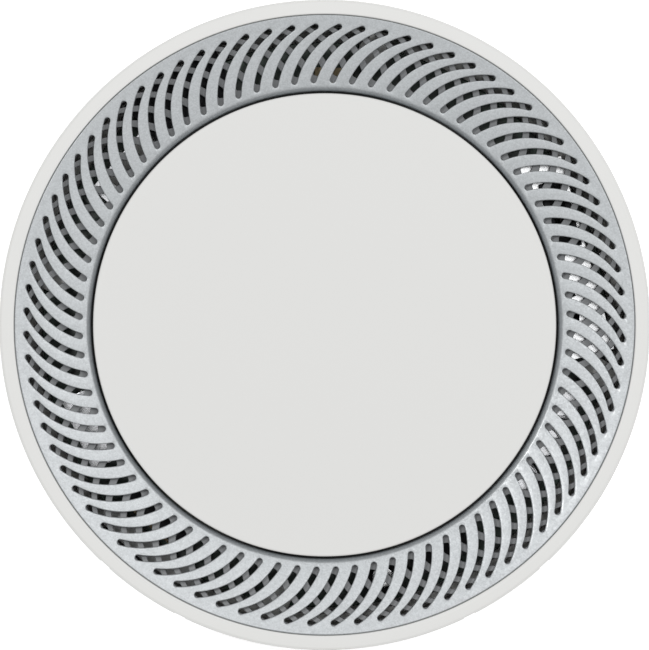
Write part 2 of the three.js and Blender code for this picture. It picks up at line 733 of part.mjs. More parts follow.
function lightGuide() {
  const guide = revolve([
    [lightInner, lightBoardTop + fit],
    [lightOuter, lightBoardTop + fit],
    [lightOuter, discBottom - fit],
    [lightInner, discBottom - fit],
  ]);
  addPart("light_guide_ring", guide, materials.clearGuide);
  const board = revolve([
    [lightInner, carrierTop + fit],
    [lightOuter, carrierTop + fit],
    [lightOuter, lightBoardTop],
    [lightInner, lightBoardTop],
  ]);
  addPart("light_board", board, materials.circuitBoard);
}

// Flat cable from the light board down to its socket on the main board.
function lightRibbon() {
  const frame = outwardFrame(ribbon.angle, ribbonCentre, partsFloor);
  const socket = standingBox(ribbonSocket);
  const foot = ribbonSocket.height + fit;
  const height = carrierTop - partsFloor - foot;
  const strip = standingBox({ depth: ribbon.thickness, width: ribbon.width, height }, foot);
  addPart("light_ribbon", strip, materials.lead, frame);
  addPart("ribbon_socket", socket, materials.whitePlastic, frame);
}

// ---------------------------------------------------------------- fasteners
// Screw along +Z with its head's seat at height 0 and a hexagon socket.
function screw(shankLength) {
  const head = cylinder(screwHead, -screwHeadHeight, 0, 14);
  const shank = cylinder(screwShank, -0.2, shankLength, 10);
  const socket = cylinder(screwHead * 0.5, -screwHeadHeight - 1, -screwHeadHeight * 0.4, 6);
  return cut(joined(head, shank), socket);
}

function coverScrews() {
  const length = floorThickness + fit + screwBoreDepth - 2;
  bossAngles.forEach((angle, i) => {
    const mesh = addPart(`cover_screw_${i + 1}`, screw(length), materials.zincSteel);
    mesh.position.set(...polar(bossCircle, angle), floorBottom - fit);
  });
}

function boardScrews() {
  const length = boardThickness + postBoreDepth - 1;
  postAngles.forEach((angle, i) => {
    const mesh = addPart(`board_screw_${i + 1}`, screw(length), materials.zincSteel);
    mesh.position.set(...polar(postCircle, angle), boardTop + fit);
    mesh.rotation.x = Math.PI;
  });
}

function lockScrew() {
  const tip = clampOuter + lockTipGap;
  const shank = lockCylinder(lockScrewRadius, tip + lockScrewLength, tip);
  const socket = lockCylinder(lockScrewRadius * 0.5, tip + lockScrewLength + 1, tip + lockScrewLength - 2, 6);
  addPart("lock_screw", cut(shank, socket), materials.steel);
  const insertInner = lockBossInner + fit;
  const insert = lockCylinder(lockInsertRadius, insertInner + lockInsertLength, insertInner);
  const thread = lockCylinder(lockScrewRadius + fit, insertInner + lockInsertLength + 1, insertInner - 1);
  addPart("lock_screw_insert", cut(insert, thread), materials.brass);
}

// ---------------------------------------------------------------- main board
function mainBoard() {
  const board = cylinder(boardRadius, boardBottom, boardTop, roundSegments);
  const notches = bossAngles.map((angle) =>
    cylinder(bossRadius + boardClearance, boardBottom - 1, boardTop + 1, 14, ...polar(bossCircle, angle)),
  );
  const holes = postAngles.map((angle) =>
    cylinder(screwBore, boardBottom - 1, boardTop + 1, 10, ...polar(postCircle, angle)),
  );
  const reach = wellWall + boardClearance;
  const wellCut = box(
    [wellMinX - reach, wellMinY - reach, boardBottom - 1],
    [wellMaxX + reach, wellEndY + reach, boardTop + 1],
  );
  addPart("main_board", cut(board, ...notches, ...holes, wellCut), materials.circuitBoard);
}

// Shielded network jack. Its mouth opens into the cable well.
function ethernetJack() {
  const frame = new THREE.Group();
  frame.position.set(wellShiftX, jackFront, partsFloor);
  monitor.add(frame);
  const { width, height, depth, sill } = jackMouth;
  const shell = box([-jackWidth / 2, -jackLength, 0], [jackWidth / 2, 0, jackHeight]);
  const mouth = box([-width / 2, -depth, sill], [width / 2, 1, sill + height]);
  const key = box(
    [-jackKey.width / 2, -depth, sill + height - 1],
    [jackKey.width / 2, 1, sill + height + jackKey.height],
  );
  addPart("ethernet_jack", cut(shell, mouth, key), materials.steel, frame);
  const { gap } = jackContact;
  const contacts = box(
    [-width / 2 + gap, -depth + gap, sill + gap],
    [width / 2 - gap, -depth / 2, sill + gap + jackContact.height],
  );
  addPart("jack_contacts", contacts, materials.gold, frame);
}

// A frame on the main board at a component's site.
const boardFrame = ({ angle, inset }) => outwardFrame(angle, boardRadius - inset, partsFloor);

function boardComponents() {
  addPart("processor_can", standingBox(processorCan), materials.steel, boardFrame(processorCan));
  addPart("radio_module", standingBox(radioModule), materials.aluminium, boardFrame(radioModule));
  addPart("power_inductor", standingBox(powerInductor), materials.ferrite, boardFrame(powerInductor));
  addPart("gas_sensor", standingBox(gasSensor), materials.gold, boardFrame(gasSensor));
}

function capacitors() {
  const { angles, inset, radius, height, chamfer } = capacitor;
  const profile = [
    [0, 0],
    [radius, 0],
    [radius, height - chamfer],
    [radius - chamfer, height],
    [0, height],
  ];
  angles.forEach((angle, i) => {
    const frame = boardFrame({ angle, inset });
    addPart(`capacitor_${i + 1}`, revolve(profile, 18), materials.aluminium, frame);
  });
}

// Power transformer: a ferrite core with its taped winding standing out on both sides.
function powerTransformer() {
  const frame = boardFrame(transformer);
  const { depth, width, height } = transformer;
  const windowWidth = width - 2 * winding.margin;
  const windowBottom = (height - winding.height) / 2;
  const window = { depth: depth + 2, width: windowWidth, height: winding.height };
  const core = cut(standingBox(transformer), standingBox(window, windowBottom));
  addPart("transformer_core", core, materials.ferrite, frame);
  const taped = {
    depth: depth + 2 * winding.proud,
    width: windowWidth - 2 * fit,
    height: winding.height - 2 * fit,
  };
  addPart("transformer_winding", standingBox(taped, windowBottom + fit), materials.copperTape, frame);
}

// ---------------------------------------------------------------- particle sensor
function particleSensor() {
  const frame = outwardFrame(sensorAngle, sensorCentre, partsFloor);
  const [halfDepth, halfWidth] = [sensorDepth / 2, sensorWidth / 2];
  const block = box([-halfDepth, -halfWidth, 0], [halfDepth, halfWidth, sensorHeight]);
  const fanPocket = cylinder(
    fanWell.radius, sensorHeight - fanWell.depth, sensorHeight + 1, 28, fanWell.x, fanWell.y,
  );
  const laserBed = box(
    [-laserPocket.length / 2, laserPocket.y - laserPocket.width / 2, sensorHeight - laserPocket.depth],
    [laserPocket.length / 2, laserPocket.y + laserPocket.width / 2, sensorHeight + 1],
  );
  const plugX = -halfDepth + sensorPlug.inset;
  const plugPocket = box(
    [plugX, halfWidth - sensorPlug.depth, sensorPlug.lift],
    [plugX + sensorPlug.width, halfWidth + 1, sensorPlug.lift + sensorPlug.height],
  );
  addPart("particle_sensor_body", cut(block, fanPocket, laserBed, plugPocket), materials.blackPlastic, frame);

  const lidGap = fit;
  const outside = box(
    [-halfDepth - lidGap - lidWall, -halfWidth - lidGap - lidWall, sensorHeight - lidSkirt],
    [halfDepth + lidGap + lidWall, halfWidth + lidGap + lidWall, sensorHeight + lidGap + lidWall],
  );
  const inside = box(
    [-halfDepth - lidGap, -halfWidth - lidGap, sensorHeight - lidSkirt - 1],
    [halfDepth + lidGap, halfWidth + lidGap, sensorHeight + lidGap],
  );
  const exhaust = ringOf(4, (angle) =>
    sector(2.6, fanWell.radius - 1.4, angle + 45, 68, sensorHeight - 1, sensorHeight + 2, 4).translate([
      fanWell.x, fanWell.y, 0,
    ]),
  );
  const inlet = box(
    [inletX - inletWindow.width / 2, inletWindow.y - inletWindow.length / 2, sensorHeight - 1],
    [inletX + inletWindow.width / 2, inletWindow.y + inletWindow.length / 2, sensorHeight + 2],
  );
  addPart("particle_sensor_lid", cut(outside, inside, ...exhaust, inlet), materials.steel, frame);

  fan(frame);
  const laser = new THREE.CylinderGeometry(laserRadius, laserRadius, laserLength, 14).rotateZ(Math.PI / 2);
  const laserX = -laserPocket.length / 2 + laserLength / 2 + fit;
  const laserZ = sensorHeight - laserPocket.depth + laserRadius + fit;
  addPart("laser_module", solid(laser.translate(laserX, laserPocket.y, laserZ)), materials.brass, frame);
  inletGasket(frame);
  sensorLead(frame, plugX + sensorPlug.width / 2, halfWidth, sensorPlug.lift + sensorPlug.height / 2);
}

// Bladed rotor whose hub is a cup over the motor. Both are centred on the fan's axis.
function fan(frame) {
  const wellFloor = sensorHeight - fanWell.depth;
  const hubTop = sensorHeight - fanTopClearance;
  const hubBottom = wellFloor + fanFloorClearance + 0.6;
  const hub = revolve(
    [
      [0, hubTop],
      [fanHubRadius, hubTop],
      [fanHubRadius, hubBottom],
      [fanHubRadius - fanHubWall, hubBottom],
      [fanHubRadius - fanHubWall, hubTop - 1.2],
      [shaftRadius, hubTop - 1.2],
      [shaftRadius, hubBottom + 0.5],
      [0, hubBottom + 0.5],
    ],
    18,
  );
  const tip = fanWell.radius - fanTipClearance;
  const blades = ringOf(fanBladeCount, (angle) => {
    const blade = new THREE.BoxGeometry(tip - fanHubRadius + 0.5, fanBladeWall, hubTop - hubBottom - 0.8);
    const middle = (tip + fanHubRadius - 0.5) / 2;
    blade.translate(middle, 0, (hubTop + hubBottom) / 2).translate(-fanHubRadius, 0, 0);
    return solid(blade.rotateZ(radians(28)).translate(fanHubRadius, 0, 0).rotateZ(radians(angle)));
  });
  const rim = cylinder(tip, hubBottom - 1, hubTop + 1, 28);
  const rotor = addPart("fan_rotor", joined(hub, ...blades).intersect(rim), materials.chipBlack, frame);
  rotor.position.set(fanWell.x, fanWell.y, 0);

  const motorRadius = fanHubRadius - fanHubWall - motorClearance;
  const motor = cylinder(motorRadius, wellFloor + fit, hubTop - 1.2 - motorClearance, 16);
  const bearing = cylinder(shaftRadius + fit, hubBottom, hubTop, 12);
  const stator = addPart("fan_motor", cut(motor, bearing), materials.copperTape, frame);
  stator.position.set(fanWell.x, fanWell.y, 0);
}

// Foam frame that ties the sensor's inlet to the air under the baffle.
function inletGasket(frame) {
  const bottom = lidTop - partsFloor + fit;
  const height = baffleUnderside - partsFloor - fit - bottom;
  const duct = { depth: inletWindow.width, width: inletWindow.length, height: height + 2 };
  const outside = { depth: duct.depth + 2 * gasketWall, width: duct.width + 2 * gasketWall, height };
  const made = cut(standingBox(outside, bottom), standingBox(duct, bottom - 1));
  const gasket = addPart("inlet_gasket", made, materials.foam, frame);
  gasket.position.set(inletX, inletWindow.y, 0);
}

// Flat lead from the sensor's side to its socket on the main board, in an S bend.
function sensorLead(frame, x, side, height) {
  const start = side + fit + lidWall;
  const end = start + lead.reach;
  const crest = height + lead.rise;
  const path = [
    [side - sensorPlug.depth + 1, height],
    [start + 0.6, height],
    [start + 2.6, height + 0.9],
    [start + 4.4, crest],
    [end - 1.6, crest],
    [end - 0.3, crest - 0.9],
    [end, crest - 2.2],
    [end, leadSocket.height + fit],
  ];
  const strip = bentStrip(path, lead.thickness, lead.width).translate([x, 0, 0]);
  addPart("sensor_lead", strip, materials.lead, frame);
  const socket = standingBox(leadSocket).translate([x, end, 0]);
  addPart("lead_socket", socket, materials.whitePlastic, frame);
}

// ---------------------------------------------------------------- gas and climate sensors
function carbonDioxideSensor() {
  const frame = boardFrame(co2Site);
  const chamberFloor = co2Board.thickness + fit;
  const filterFloor = chamberFloor + co2Chamber.height + fit;
  const board = standingBox({ ...co2Board, height: co2Board.thickness });
  addPart("co2_board", board, materials.circuitBoard, frame);
  addPart("co2_chamber", standingBox(co2Chamber, chamberFloor), materials.aluminium, frame);
  addPart("co2_filter", standingBox(co2Filter, filterFloor), materials.whitePlastic, frame);
}

// Temperature and humidity sensor, held up near the grille on a white stand so that board heat misses it.
function climateSensor() {
  const frame = boardFrame(climateSite);
  const chipTop = baffleUnderside - climateSite.gap - partsFloor;
  const chipFloor = chipTop - humidityChip.height;
  const boardFloor = chipFloor - fit - climateBoard.thickness;
  const standHeight = boardFloor - fit;
  const stand = standingBox({ ...climateBoard, height: standHeight });
  const hollow = {
    depth: climateBoard.depth - 2 * climateStandWall,
    width: climateBoard.width + 2,
    height: standHeight - climateStandWall + 1,
  };
  addPart("climate_stand", cut(stand, standingBox(hollow, -1)), materials.whitePlastic, frame);
  const board = standingBox({ ...climateBoard, height: climateBoard.thickness }, boardFloor);
  addPart("climate_board", board, materials.circuitBoard, frame);
  const chip = { depth: humidityChip.side, width: humidityChip.side, height: humidityChip.height };
  addPart("humidity_sensor", standingBox(chip, chipFloor), materials.chipBlack, frame);
}

// Foam block that keeps warm air from the boards away from the climate sensor.
function airDivider() {
  const top = baffleUnderside - fit;
  const outer = mouthRadius - ledgeReach - 1;
  const block = sector(baffleInner + fit, outer, divider.angle, divider.sweep, top - divider.height, top, 4);
  addPart("air_divider", block, materials.foam);
}

// Radio antenna on its own board near the wall, held up on a stand.
function antenna() {
  const { angle, sweep, standTop, thickness, standDepth } = antennaSite;
  const inner = boardRadius - standDepth;
  const stand = sector(inner, boardRadius - fit, angle, sweep / 3, partsFloor, standTop, 2);
  addPart("antenna_stand", stand, materials.whitePlastic);
  const bottom = standTop + fit;
  const board = sector(inner, shellInnerBack - 1, angle, sweep, bottom, bottom + thickness, 4);
  addPart("antenna_board", board, materials.label);
}

// Microphone capsule in a rubber boot that reaches up towards the baffle.
function microphone() {
  const frame = boardFrame(microphoneSite);
  const { radius, height } = microphoneSite;
  const bootTop = baffleUnderside - boot.gap - partsFloor;
  const bore = radius + fit;
  addPart("microphone", cylinder(radius, 0, height, 16), materials.steel, frame);
  const sleeve = revolve(
    [
      [bore, 0],
      [bore + boot.wall, 0],
      [bore + boot.wall, bootTop],
      [boot.mouth, bootTop],
      [boot.mouth, bootTop - boot.wall],
      [bore, bootTop - 2 * boot.wall],
    ],
    16,
  );
  addPart("microphone_boot", sleeve, materials.rubber, frame);
}

// ---------------------------------------------------------------- reset button and label
function resetButton() {
  const switchTop = boardBottom - fit;
  const switchBottom = switchTop - switchHeight;
  const stemBottom = switchBottom - (stemHeight - resetTravel - fit - 0.2);
  const buttonTop = stemBottom - fit;
  const buttonFace = floorBottom + 0.4;
  const flangeTop = floorTop + resetTravel / 2 + 1;
  const button = joined(
    cylinder(resetRadius, buttonFace, buttonTop, 16),
    cylinder(resetRadius + resetFlange, floorTop + fit, flangeTop + fit, 16),
  );
  addPart("reset_button", button, materials.darkGrey).position.x = resetX;

  const half = switchSide / 2;
  const body = cut(
    box([-half, -half, switchBottom], [half, half, switchTop]),
    cylinder(stemRadius + fit, switchBottom - 1, stemBottom + stemHeight + resetTravel + 0.1, 16),
  );
  addPart("reset_switch", body, materials.chipBlack).position.x = resetX;
  const stem = cylinder(stemRadius, stemBottom, stemBottom + stemHeight, 16);
  addPart("reset_switch_stem", stem, materials.whitePlastic).position.x = resetX;
}

// Blank rating label on the rear cover's back.
function ratingLabel() {
  const { width, depth, thickness, gap } = ratingSticker;
  const edge = wellEndY + sealMargin + sealWidth + gap;
  const top = floorBottom - fit;
  const label = box([-width / 2, edge, top - thickness], [width / 2, edge + depth, top]);
  addPart("rating_label", label, materials.label);
}

mountPlate();
cableSeal();
rearCover();
housingShell();
grilleRing();
baffleRing();
frontDisc();
discCarrier();
lightGuide();
lightRibbon();
coverScrews();
boardScrews();
lockScrew();
mainBoard();
ethernetJack();
boardComponents();
capacitors();
powerTransformer();
particleSensor();
carbonDioxideSensor();
climateSensor();
airDivider();
antenna();
microphone();
resetButton();
ratingLabel();

export default monitor;
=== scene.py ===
"""Visible pieces, finishes, lights and camera of a round air quality monitor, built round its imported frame.

Metres, +Z out of the wall. Lengths in the constants are millimetres, and piece_from scales them once.
"""

import json
import math

import bmesh
import bpy
from mathutils import Matrix, Vector


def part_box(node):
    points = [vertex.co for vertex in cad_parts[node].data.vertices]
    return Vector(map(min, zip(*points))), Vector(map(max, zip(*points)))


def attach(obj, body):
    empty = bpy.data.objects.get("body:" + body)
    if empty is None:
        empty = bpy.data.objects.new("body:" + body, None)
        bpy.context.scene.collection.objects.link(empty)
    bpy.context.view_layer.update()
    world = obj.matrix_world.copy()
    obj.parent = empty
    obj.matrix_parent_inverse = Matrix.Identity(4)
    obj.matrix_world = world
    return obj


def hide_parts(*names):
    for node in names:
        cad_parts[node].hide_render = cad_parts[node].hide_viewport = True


MM = 0.001
WELD = 1e-4  # millimetres within which two vertices are one
RING_WELD = 2e-3  # the same where the tiles of a slotted ring meet
TURN_STEPS = 240  # faces round the drum
SHARP = math.radians(38)
ON_RING = 0.01  # how near a vertex lies to a circle that it is on
OVERSHOOT = 1.0  # how far a cutting tool reaches past what it cuts
SINK = 0.01  # joined solids reach this far past a face that they would share
BORE_SIDES = 24

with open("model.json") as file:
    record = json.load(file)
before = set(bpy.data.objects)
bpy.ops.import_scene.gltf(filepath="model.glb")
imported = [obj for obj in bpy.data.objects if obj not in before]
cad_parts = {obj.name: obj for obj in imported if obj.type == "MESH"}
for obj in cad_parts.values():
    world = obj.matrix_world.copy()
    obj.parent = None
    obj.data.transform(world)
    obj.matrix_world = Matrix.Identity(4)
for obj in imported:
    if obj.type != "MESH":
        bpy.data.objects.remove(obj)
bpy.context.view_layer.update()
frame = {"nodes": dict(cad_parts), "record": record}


def top_mm(node):
    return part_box(node)[1].z / MM


def bottom_mm(node):
    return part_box(node)[0].z / MM


def reach_mm(node):
    """How far a round node reaches from the axis."""
    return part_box(node)[1].x / MM


def middle_mm(node):
    low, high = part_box(node)
    return (low + high) / 2 / MM


# Sizes taken from the frame
BODY_RADIUS = reach_mm("housing_shell")
RIM_TOP = top_mm("housing_shell")
SHELL_BOTTOM = bottom_mm("housing_shell")
GRILLE_OUTER = reach_mm("grille_ring")
DISC_RADIUS = reach_mm("front_disc")
DISC_TOP = top_mm("front_disc")
DISC_BOTTOM = bottom_mm("front_disc")
LIP_BOTTOM = bottom_mm("grille_ring")
SKIRT_LIFT = bottom_mm("rear_cover")
WELL_TOP = top_mm("rear_cover")
PLATE_RING_TOP = top_mm("mount_plate")
CLAMP_OUTER = reach_mm("mount_plate")
FIT = 0.3  # clearance between pieces that sit on or in each other

# Rounding of turned edges
ROUND_SMALL = 0.2
ROUND_MIDDLE = 0.25
ROUND_LARGE = 0.3
FILLET = 0.4

# Drum
PARTING_GAP = 0.08  # between the rim and the grille ring, at their faces
MOUTH_RADIUS = GRILLE_OUTER + PARTING_GAP
SHELL_DRAFT = 1.9
SHELL_WALL = 2.4
BACK_RADIUS = BODY_RADIUS - SHELL_DRAFT
SHELL_INNER_BACK = BACK_RADIUS - SHELL_WALL
LEDGE_REACH = 1.62
LEDGE_THICKNESS = 2.0
SEAT_GAP = 0.05  # round the grille ring, below its face
SEAT_TOP_DEPTH = 0.25  # grille's face to the top of its seat
MOUTH_DEPTH = 0.12  # grille's face to the foot of the narrow mouth
MOUTH_ROUND = 0.28
LIP_ROUND = 0.7
SNAP_ANGLES = (-42.5, -26.5, 26.5, 42.5)  # degrees from the drum's lowest point
SNAP_SIZE = (2.4, 1.6, 3.0)  # along the rim, into the wall, up
SNAP_TOP = RIM_TOP - LIP_ROUND * 0.3
NIB_SIZE = (5.2, 0.6, 7.0)  # along the rim, out of the wall, up
NIB_TOP = RIM_TOP - LIP_ROUND * 2
BOSS_ANGLES = (80, 170, 260, 350)
BOSS_RADIUS = 3.0
BOSS_RIB_WIDTH = 2.2
BOSS_RIB_SINK = 0.7  # how far a rib reaches into its boss and into the wall
BOSS_DROP = 5.2
SCREW_BORE = 1.6
SCREW_BORE_DEPTH = 10.0

# Disc
DISC_TRIM = 0.15  # its edge stands this far inside its node
DISC_ROUND = 0.38

# Grille and baffle
SLOTS = 80
PITCH = 360 / SLOTS
GRILLE_WIDTH = 15.58
GRILLE_INNER = GRILLE_OUTER - GRILLE_WIDTH
GRILLE_TILT = math.radians(7.6)
GRILLE_SLOPE = math.tan(GRILLE_TILT)
GRILLE_EDGE_TOP = RIM_TOP - 0.3
GRILLE_WALL = 1.6
GRILLE_RIM_START = GRILLE_OUTER - 1.55
GRILLE_ROLL = 1.15
LIP_INNER = GRILLE_INNER - 0.12
GRILLE_LIP_WALL = 1.05
LIP_CHAMFER = 0.2
GRILLE_EDGE_ROUND = 0.28
SLOT_WIDTH = 1.2
SLOT_EDGE_ROUND = 0.2
ARC_INSET = 1.12
ARC_OVERSHOOT = 0.15
ARC_RADIUS = GRILLE_WIDTH + ARC_INSET + ARC_OVERSHOOT
ARC_CENTRE = GRILLE_INNER - ARC_INSET
SLOT_INNER_END = GRILLE_INNER + 2.15
SLOT_OUTER_END = GRILLE_OUTER - 2.45
SLOT_PHASE = -7.8
BAFFLE_DROP = 0.9
BAFFLE_WALL = 1.2
BAFFLE_INNER = GRILLE_INNER + 1.75
BAFFLE_SHARE = 0.57
BAFFLE_PHASE = 11.1
BAFFLE_EDGE_ROUND = 0.12
BAFFLE_SLOT_MARGIN = 1.2  # baffle's inner edge to its slots' inner ends
BAFFLE_BORDER = 0.6  # the part of that margin which isn't shared out between the slots

# Rear cover
FLOOR_TOP = SHELL_BOTTOM + FIT
FLOOR_THICKNESS = 2.0
FLOOR_BOTTOM = FLOOR_TOP - FLOOR_THICKNESS
FLOOR_SINK = 0.5  # how far a post or boss reaches into the floor
SKIRT_WALL = 1.6
SKIRT_TUCK = 3.3
TUCK_STEPS = 12
SKIRT_RADIUS = BACK_RADIUS - SKIRT_TUCK
SKIRT_INNER = SKIRT_RADIUS - SKIRT_WALL
SPIGOT_WALL = 1.7
SPIGOT_HEIGHT = 2.0
SPIGOT_TOP = FLOOR_TOP + SPIGOT_HEIGHT
WELL_LOW = (-14.0, -28.0)
WELL_HIGH = (10.0, 10.0)
WELL_WALL = 1.6
WELL_CORNER = 2.0
WELL_ROOF = WELL_TOP - WELL_WALL
JACK_WINDOW = (16.8, 12.2)  # width and height
POST_RADIUS = 3.0
POST_HEIGHT = 6.5
POST_BORE_DEPTH = 5.0
LOCK_BOSS = (8.0, 5.0)  # width and length
LOCK_BORE = 2.5
BOSS_NOTCH_GAP = 0.2
NOTCH_SILL = 0.1
RESET_X = middle_mm("reset_button").x
RESET_HOLE = 2.3

# Mount plate and bayonet
PLATE_THICKNESS = 2.0
PLATE_WALL = 2.0
PLATE_HOLE = 17.0
COLLAR_OUTER = CLAMP_OUTER - PLATE_WALL - 1.3
COLLAR_INNER = COLLAR_OUTER - 2.0
LUG_CLEARANCE = 0.5
PLATE_LUG_TIP = COLLAR_INNER - LUG_CLEARANCE
BAYONET_OUTER = PLATE_LUG_TIP - 2.7
COVER_LUG_TIP = BAYONET_OUTER + LUG_CLEARANCE
LUG_THICKNESS = 1.6
LUG_SINK = 0.4  # how far a lug or stop reaches into what carries it
LUG_ANGLES = (0, 120, 240)
PLATE_LUG_SWEEP = 26
COVER_LUG_SWEEP = 30
STOP_SWEEP = 3.5
STOP_GAP = 0.5
UNLOCK_TURN = 30
PLATE_SLOTS = ((41.65, 90), (41.65, 270), (30.0, 0), (30.0, 180))  # radius and angle
PLATE_SLOT_WIDTH = 4.2
PLATE_SLOT_SWEEP = 16
SEAL_MARGIN = 1.2
SEAL_WIDTH = 3.4
SEAL_CORNERS = (3.0, 5.0)  # inner and outer
PLATE_EDGE_ROUND = 0.5

# Pieces kept from the frame
NODE_EDGE = 0.12  # rounding of their edges
NODE_EDGE_ANGLE = math.radians(40)
NODE_WELD = 1e-6  # metres

# Screws
SCREW_HEAD = 2.5
SCREW_HEAD_HEIGHT = 1.6
SCREW_SHANK = 1.25
SCREW_HEAD_ROUND = 0.45
SCREW_SEAT_ROUND = 0.12
SCREW_SIDES = 40
SOCKET_SHARE = 0.5  # of the radius of the head or screw that it is cut in
LOCK_SOCKET_DEPTH = 2.0
THREAD_DEPTH = 0.18
THREAD_PITCH = 0.7
THREAD_CREST = THREAD_PITCH * 0.35
THREAD_ROOT = THREAD_PITCH * 0.85
COVER_SCREWS = [f"cover_screw_{i}" for i in range(1, 5)]
BOARD_SCREWS = [f"board_screw_{i}" for i in range(1, 5)]

# Capacitors
CAPACITORS = [f"capacitor_{i}" for i in range(1, 4)]
CAN_GROOVE = (1.3, 1.7, 2.1)  # heights of its lower edge, its root and its upper edge
CAN_GROOVE_DEPTH = 0.4
CAN_TOP_DROP = 0.1  # node's top to the can's rolled edge
CAN_TOP_ROUND = 0.5
CAN_CROWN_INSETS = (0.9, 1.1)  # can's side to the edge of its sunk top, above and below
CAN_CROWN_DROP = 0.35
CAN_SIDES = 48


def grille_height(radius):
    return GRILLE_EDGE_TOP - (GRILLE_OUTER - radius) * GRILLE_SLOPE


def baffle_height(radius):
    return grille_height(radius) - GRILLE_WALL - BAFFLE_DROP


LEDGE_TOP = baffle_height(GRILLE_RIM_START) - BAFFLE_WALL - FIT
BOSS_TOP = LEDGE_TOP - BOSS_DROP
BOSS_CIRCLE = SKIRT_INNER - SCREW_HEAD - 0.35


# ---------------------------------------------------------------- mesh helpers
def new_verts(made):
    return [g for g in made["geom"] if isinstance(g, bmesh.types.BMVert)]


def loop_edges(made, verts):
    """The edges of an extrusion that join its new vertices."""
    fresh = set(verts)
    edges = [g for g in made["geom"] if isinstance(g, bmesh.types.BMEdge)]
    return [e for e in edges if all(v in fresh for v in e.verts)]


def is_ring_edge(edge, radius, height):
    """Whether both ends of an edge lie on one circle round Z."""
    return all(
        math.hypot(math.hypot(v.co.x, v.co.y) - radius, v.co.z - height) < ON_RING for v in edge.verts
    )


def round_edges(bm, edges, amount, steps=4):
    bmesh.ops.bevel(
        bm, geom=edges, offset=amount, segments=steps, profile=0.5, affect="EDGES", material=-1,
        clamp_overlap=True,
    )


def turned(profile, steps=TURN_STEPS):
    """Spins (radius, height) or (radius, height, rounding) points about Z.

    The points make a closed loop, unless the first is on the axis.
    """
    bm = bmesh.new()
    verts = [bm.verts.new((point[0], 0, point[1])) for point in profile]
    closed = profile[0][0] > 0
    pairs = zip(verts, verts[1:] + verts[:1] if closed else verts[1:])
    edges = [bm.edges.new(pair) for pair in pairs]
    bmesh.ops.spin(
        bm, geom=verts + edges, axis=(0, 0, 1), cent=(0, 0, 0), angle=math.tau, steps=steps, use_merge=True
    )
    bmesh.ops.remove_doubles(bm, verts=bm.verts, dist=WELD)
    bmesh.ops.dissolve_degenerate(bm, edges=bm.edges, dist=WELD)
    bmesh.ops.recalc_face_normals(bm, faces=bm.faces)
    for point in profile:
        if len(point) > 2:
            round_edges(bm, [e for e in bm.edges if is_ring_edge(e, point[0], point[1])], point[2])
    return bm


def swept(inner, outer, low, high, centre, sweep, steps=12):
    """A block between two radii and two heights, swept round Z and centred on an angle in degrees."""
    bm = bmesh.new()
    corners = [(inner, low), (outer, low), (outer, high), (inner, high)]
    verts = [bm.verts.new((radius, 0, height)) for radius, height in corners]
    edges = [bm.edges.new(pair) for pair in zip(verts, verts[1:] + verts[:1])]
    bmesh.ops.spin(
        bm, geom=verts + edges, axis=(0, 0, 1), cent=(0, 0, 0), angle=math.radians(sweep), steps=steps
    )
    bmesh.ops.holes_fill(bm, edges=bm.edges, sides=4)
    bmesh.ops.recalc_face_normals(bm, faces=bm.faces)
    return turn_round(bm, centre - sweep / 2)


def block(low, high, rounding=0.0):
    """A box by its lowest and highest corners."""
    bm = bmesh.new()
    size = Vector(high) - Vector(low)
    middle = (Vector(high) + Vector(low)) / 2
    bmesh.ops.create_cube(bm, size=1, matrix=Matrix.Translation(middle) @ Matrix.Diagonal((*size, 1)))
    if rounding:
        round_edges(bm, bm.edges[:], rounding, 3)
    return bm


def rounded_block(low, high, corner):
    """A box whose four upright edges are rounded."""
    bm = block(low, high)
    upright = [e for e in bm.edges if abs(e.verts[0].co.z - e.verts[1].co.z) > WELD]
    round_edges(bm, upright, corner, 8)
    return bm


def peg(radius, low, high, place=(0, 0), sides=32):
    """An upright cylinder between two heights."""
    bm = bmesh.new()
    middle = Matrix.Translation((*place, (low + high) / 2))
    bmesh.ops.create_cone(
        bm, cap_ends=True, segments=sides, radius1=radius, radius2=radius, depth=high - low, matrix=middle
    )
    return bm


def turn_round(bm, degrees, axis="Z"):
    turn = Matrix.Rotation(math.radians(degrees), 3, axis)
    bmesh.ops.rotate(bm, verts=bm.verts, cent=(0, 0, 0), matrix=turn)
    return bm


def shift(bm, way):
    bmesh.ops.translate(bm, verts=bm.verts, vec=way)
    return bm


def polar(radius, degrees):
    return radius * math.cos(math.radians(degrees)), radius * math.sin(math.radians(degrees))


def as_object(name, bm):
    mesh = bpy.data.meshes.new(name)
    bm.to_mesh(mesh)
    bm.free()
    made = bpy.data.objects.new(name, mesh)
    bpy.context.scene.collection.objects.link(made)
    return made


def carved(bm, cuts=(), joins=()):
    """Joins and then cuts closed solids, and returns the result as a new bmesh."""
    body = as_object("carving", bm)
    tools = [(as_object("tool", tool), "UNION") for tool in joins]
    tools += [(as_object("tool", tool), "DIFFERENCE") for tool in cuts]
    for tool, operation in tools:
        step = body.modifiers.new("carve", "BOOLEAN")
        step.operation = operation
        step.solver = "EXACT"
        step.object = tool
    result = bmesh.new()
    result.from_object(body, bpy.context.evaluated_depsgraph_get())
    for done in [body] + [tool for tool, _ in tools]:
        mesh = done.data
        bpy.data.objects.remove(done)
        bpy.data.meshes.remove(mesh)
    bmesh.ops.remove_doubles(result, verts=result.verts, dist=WELD)
    return result


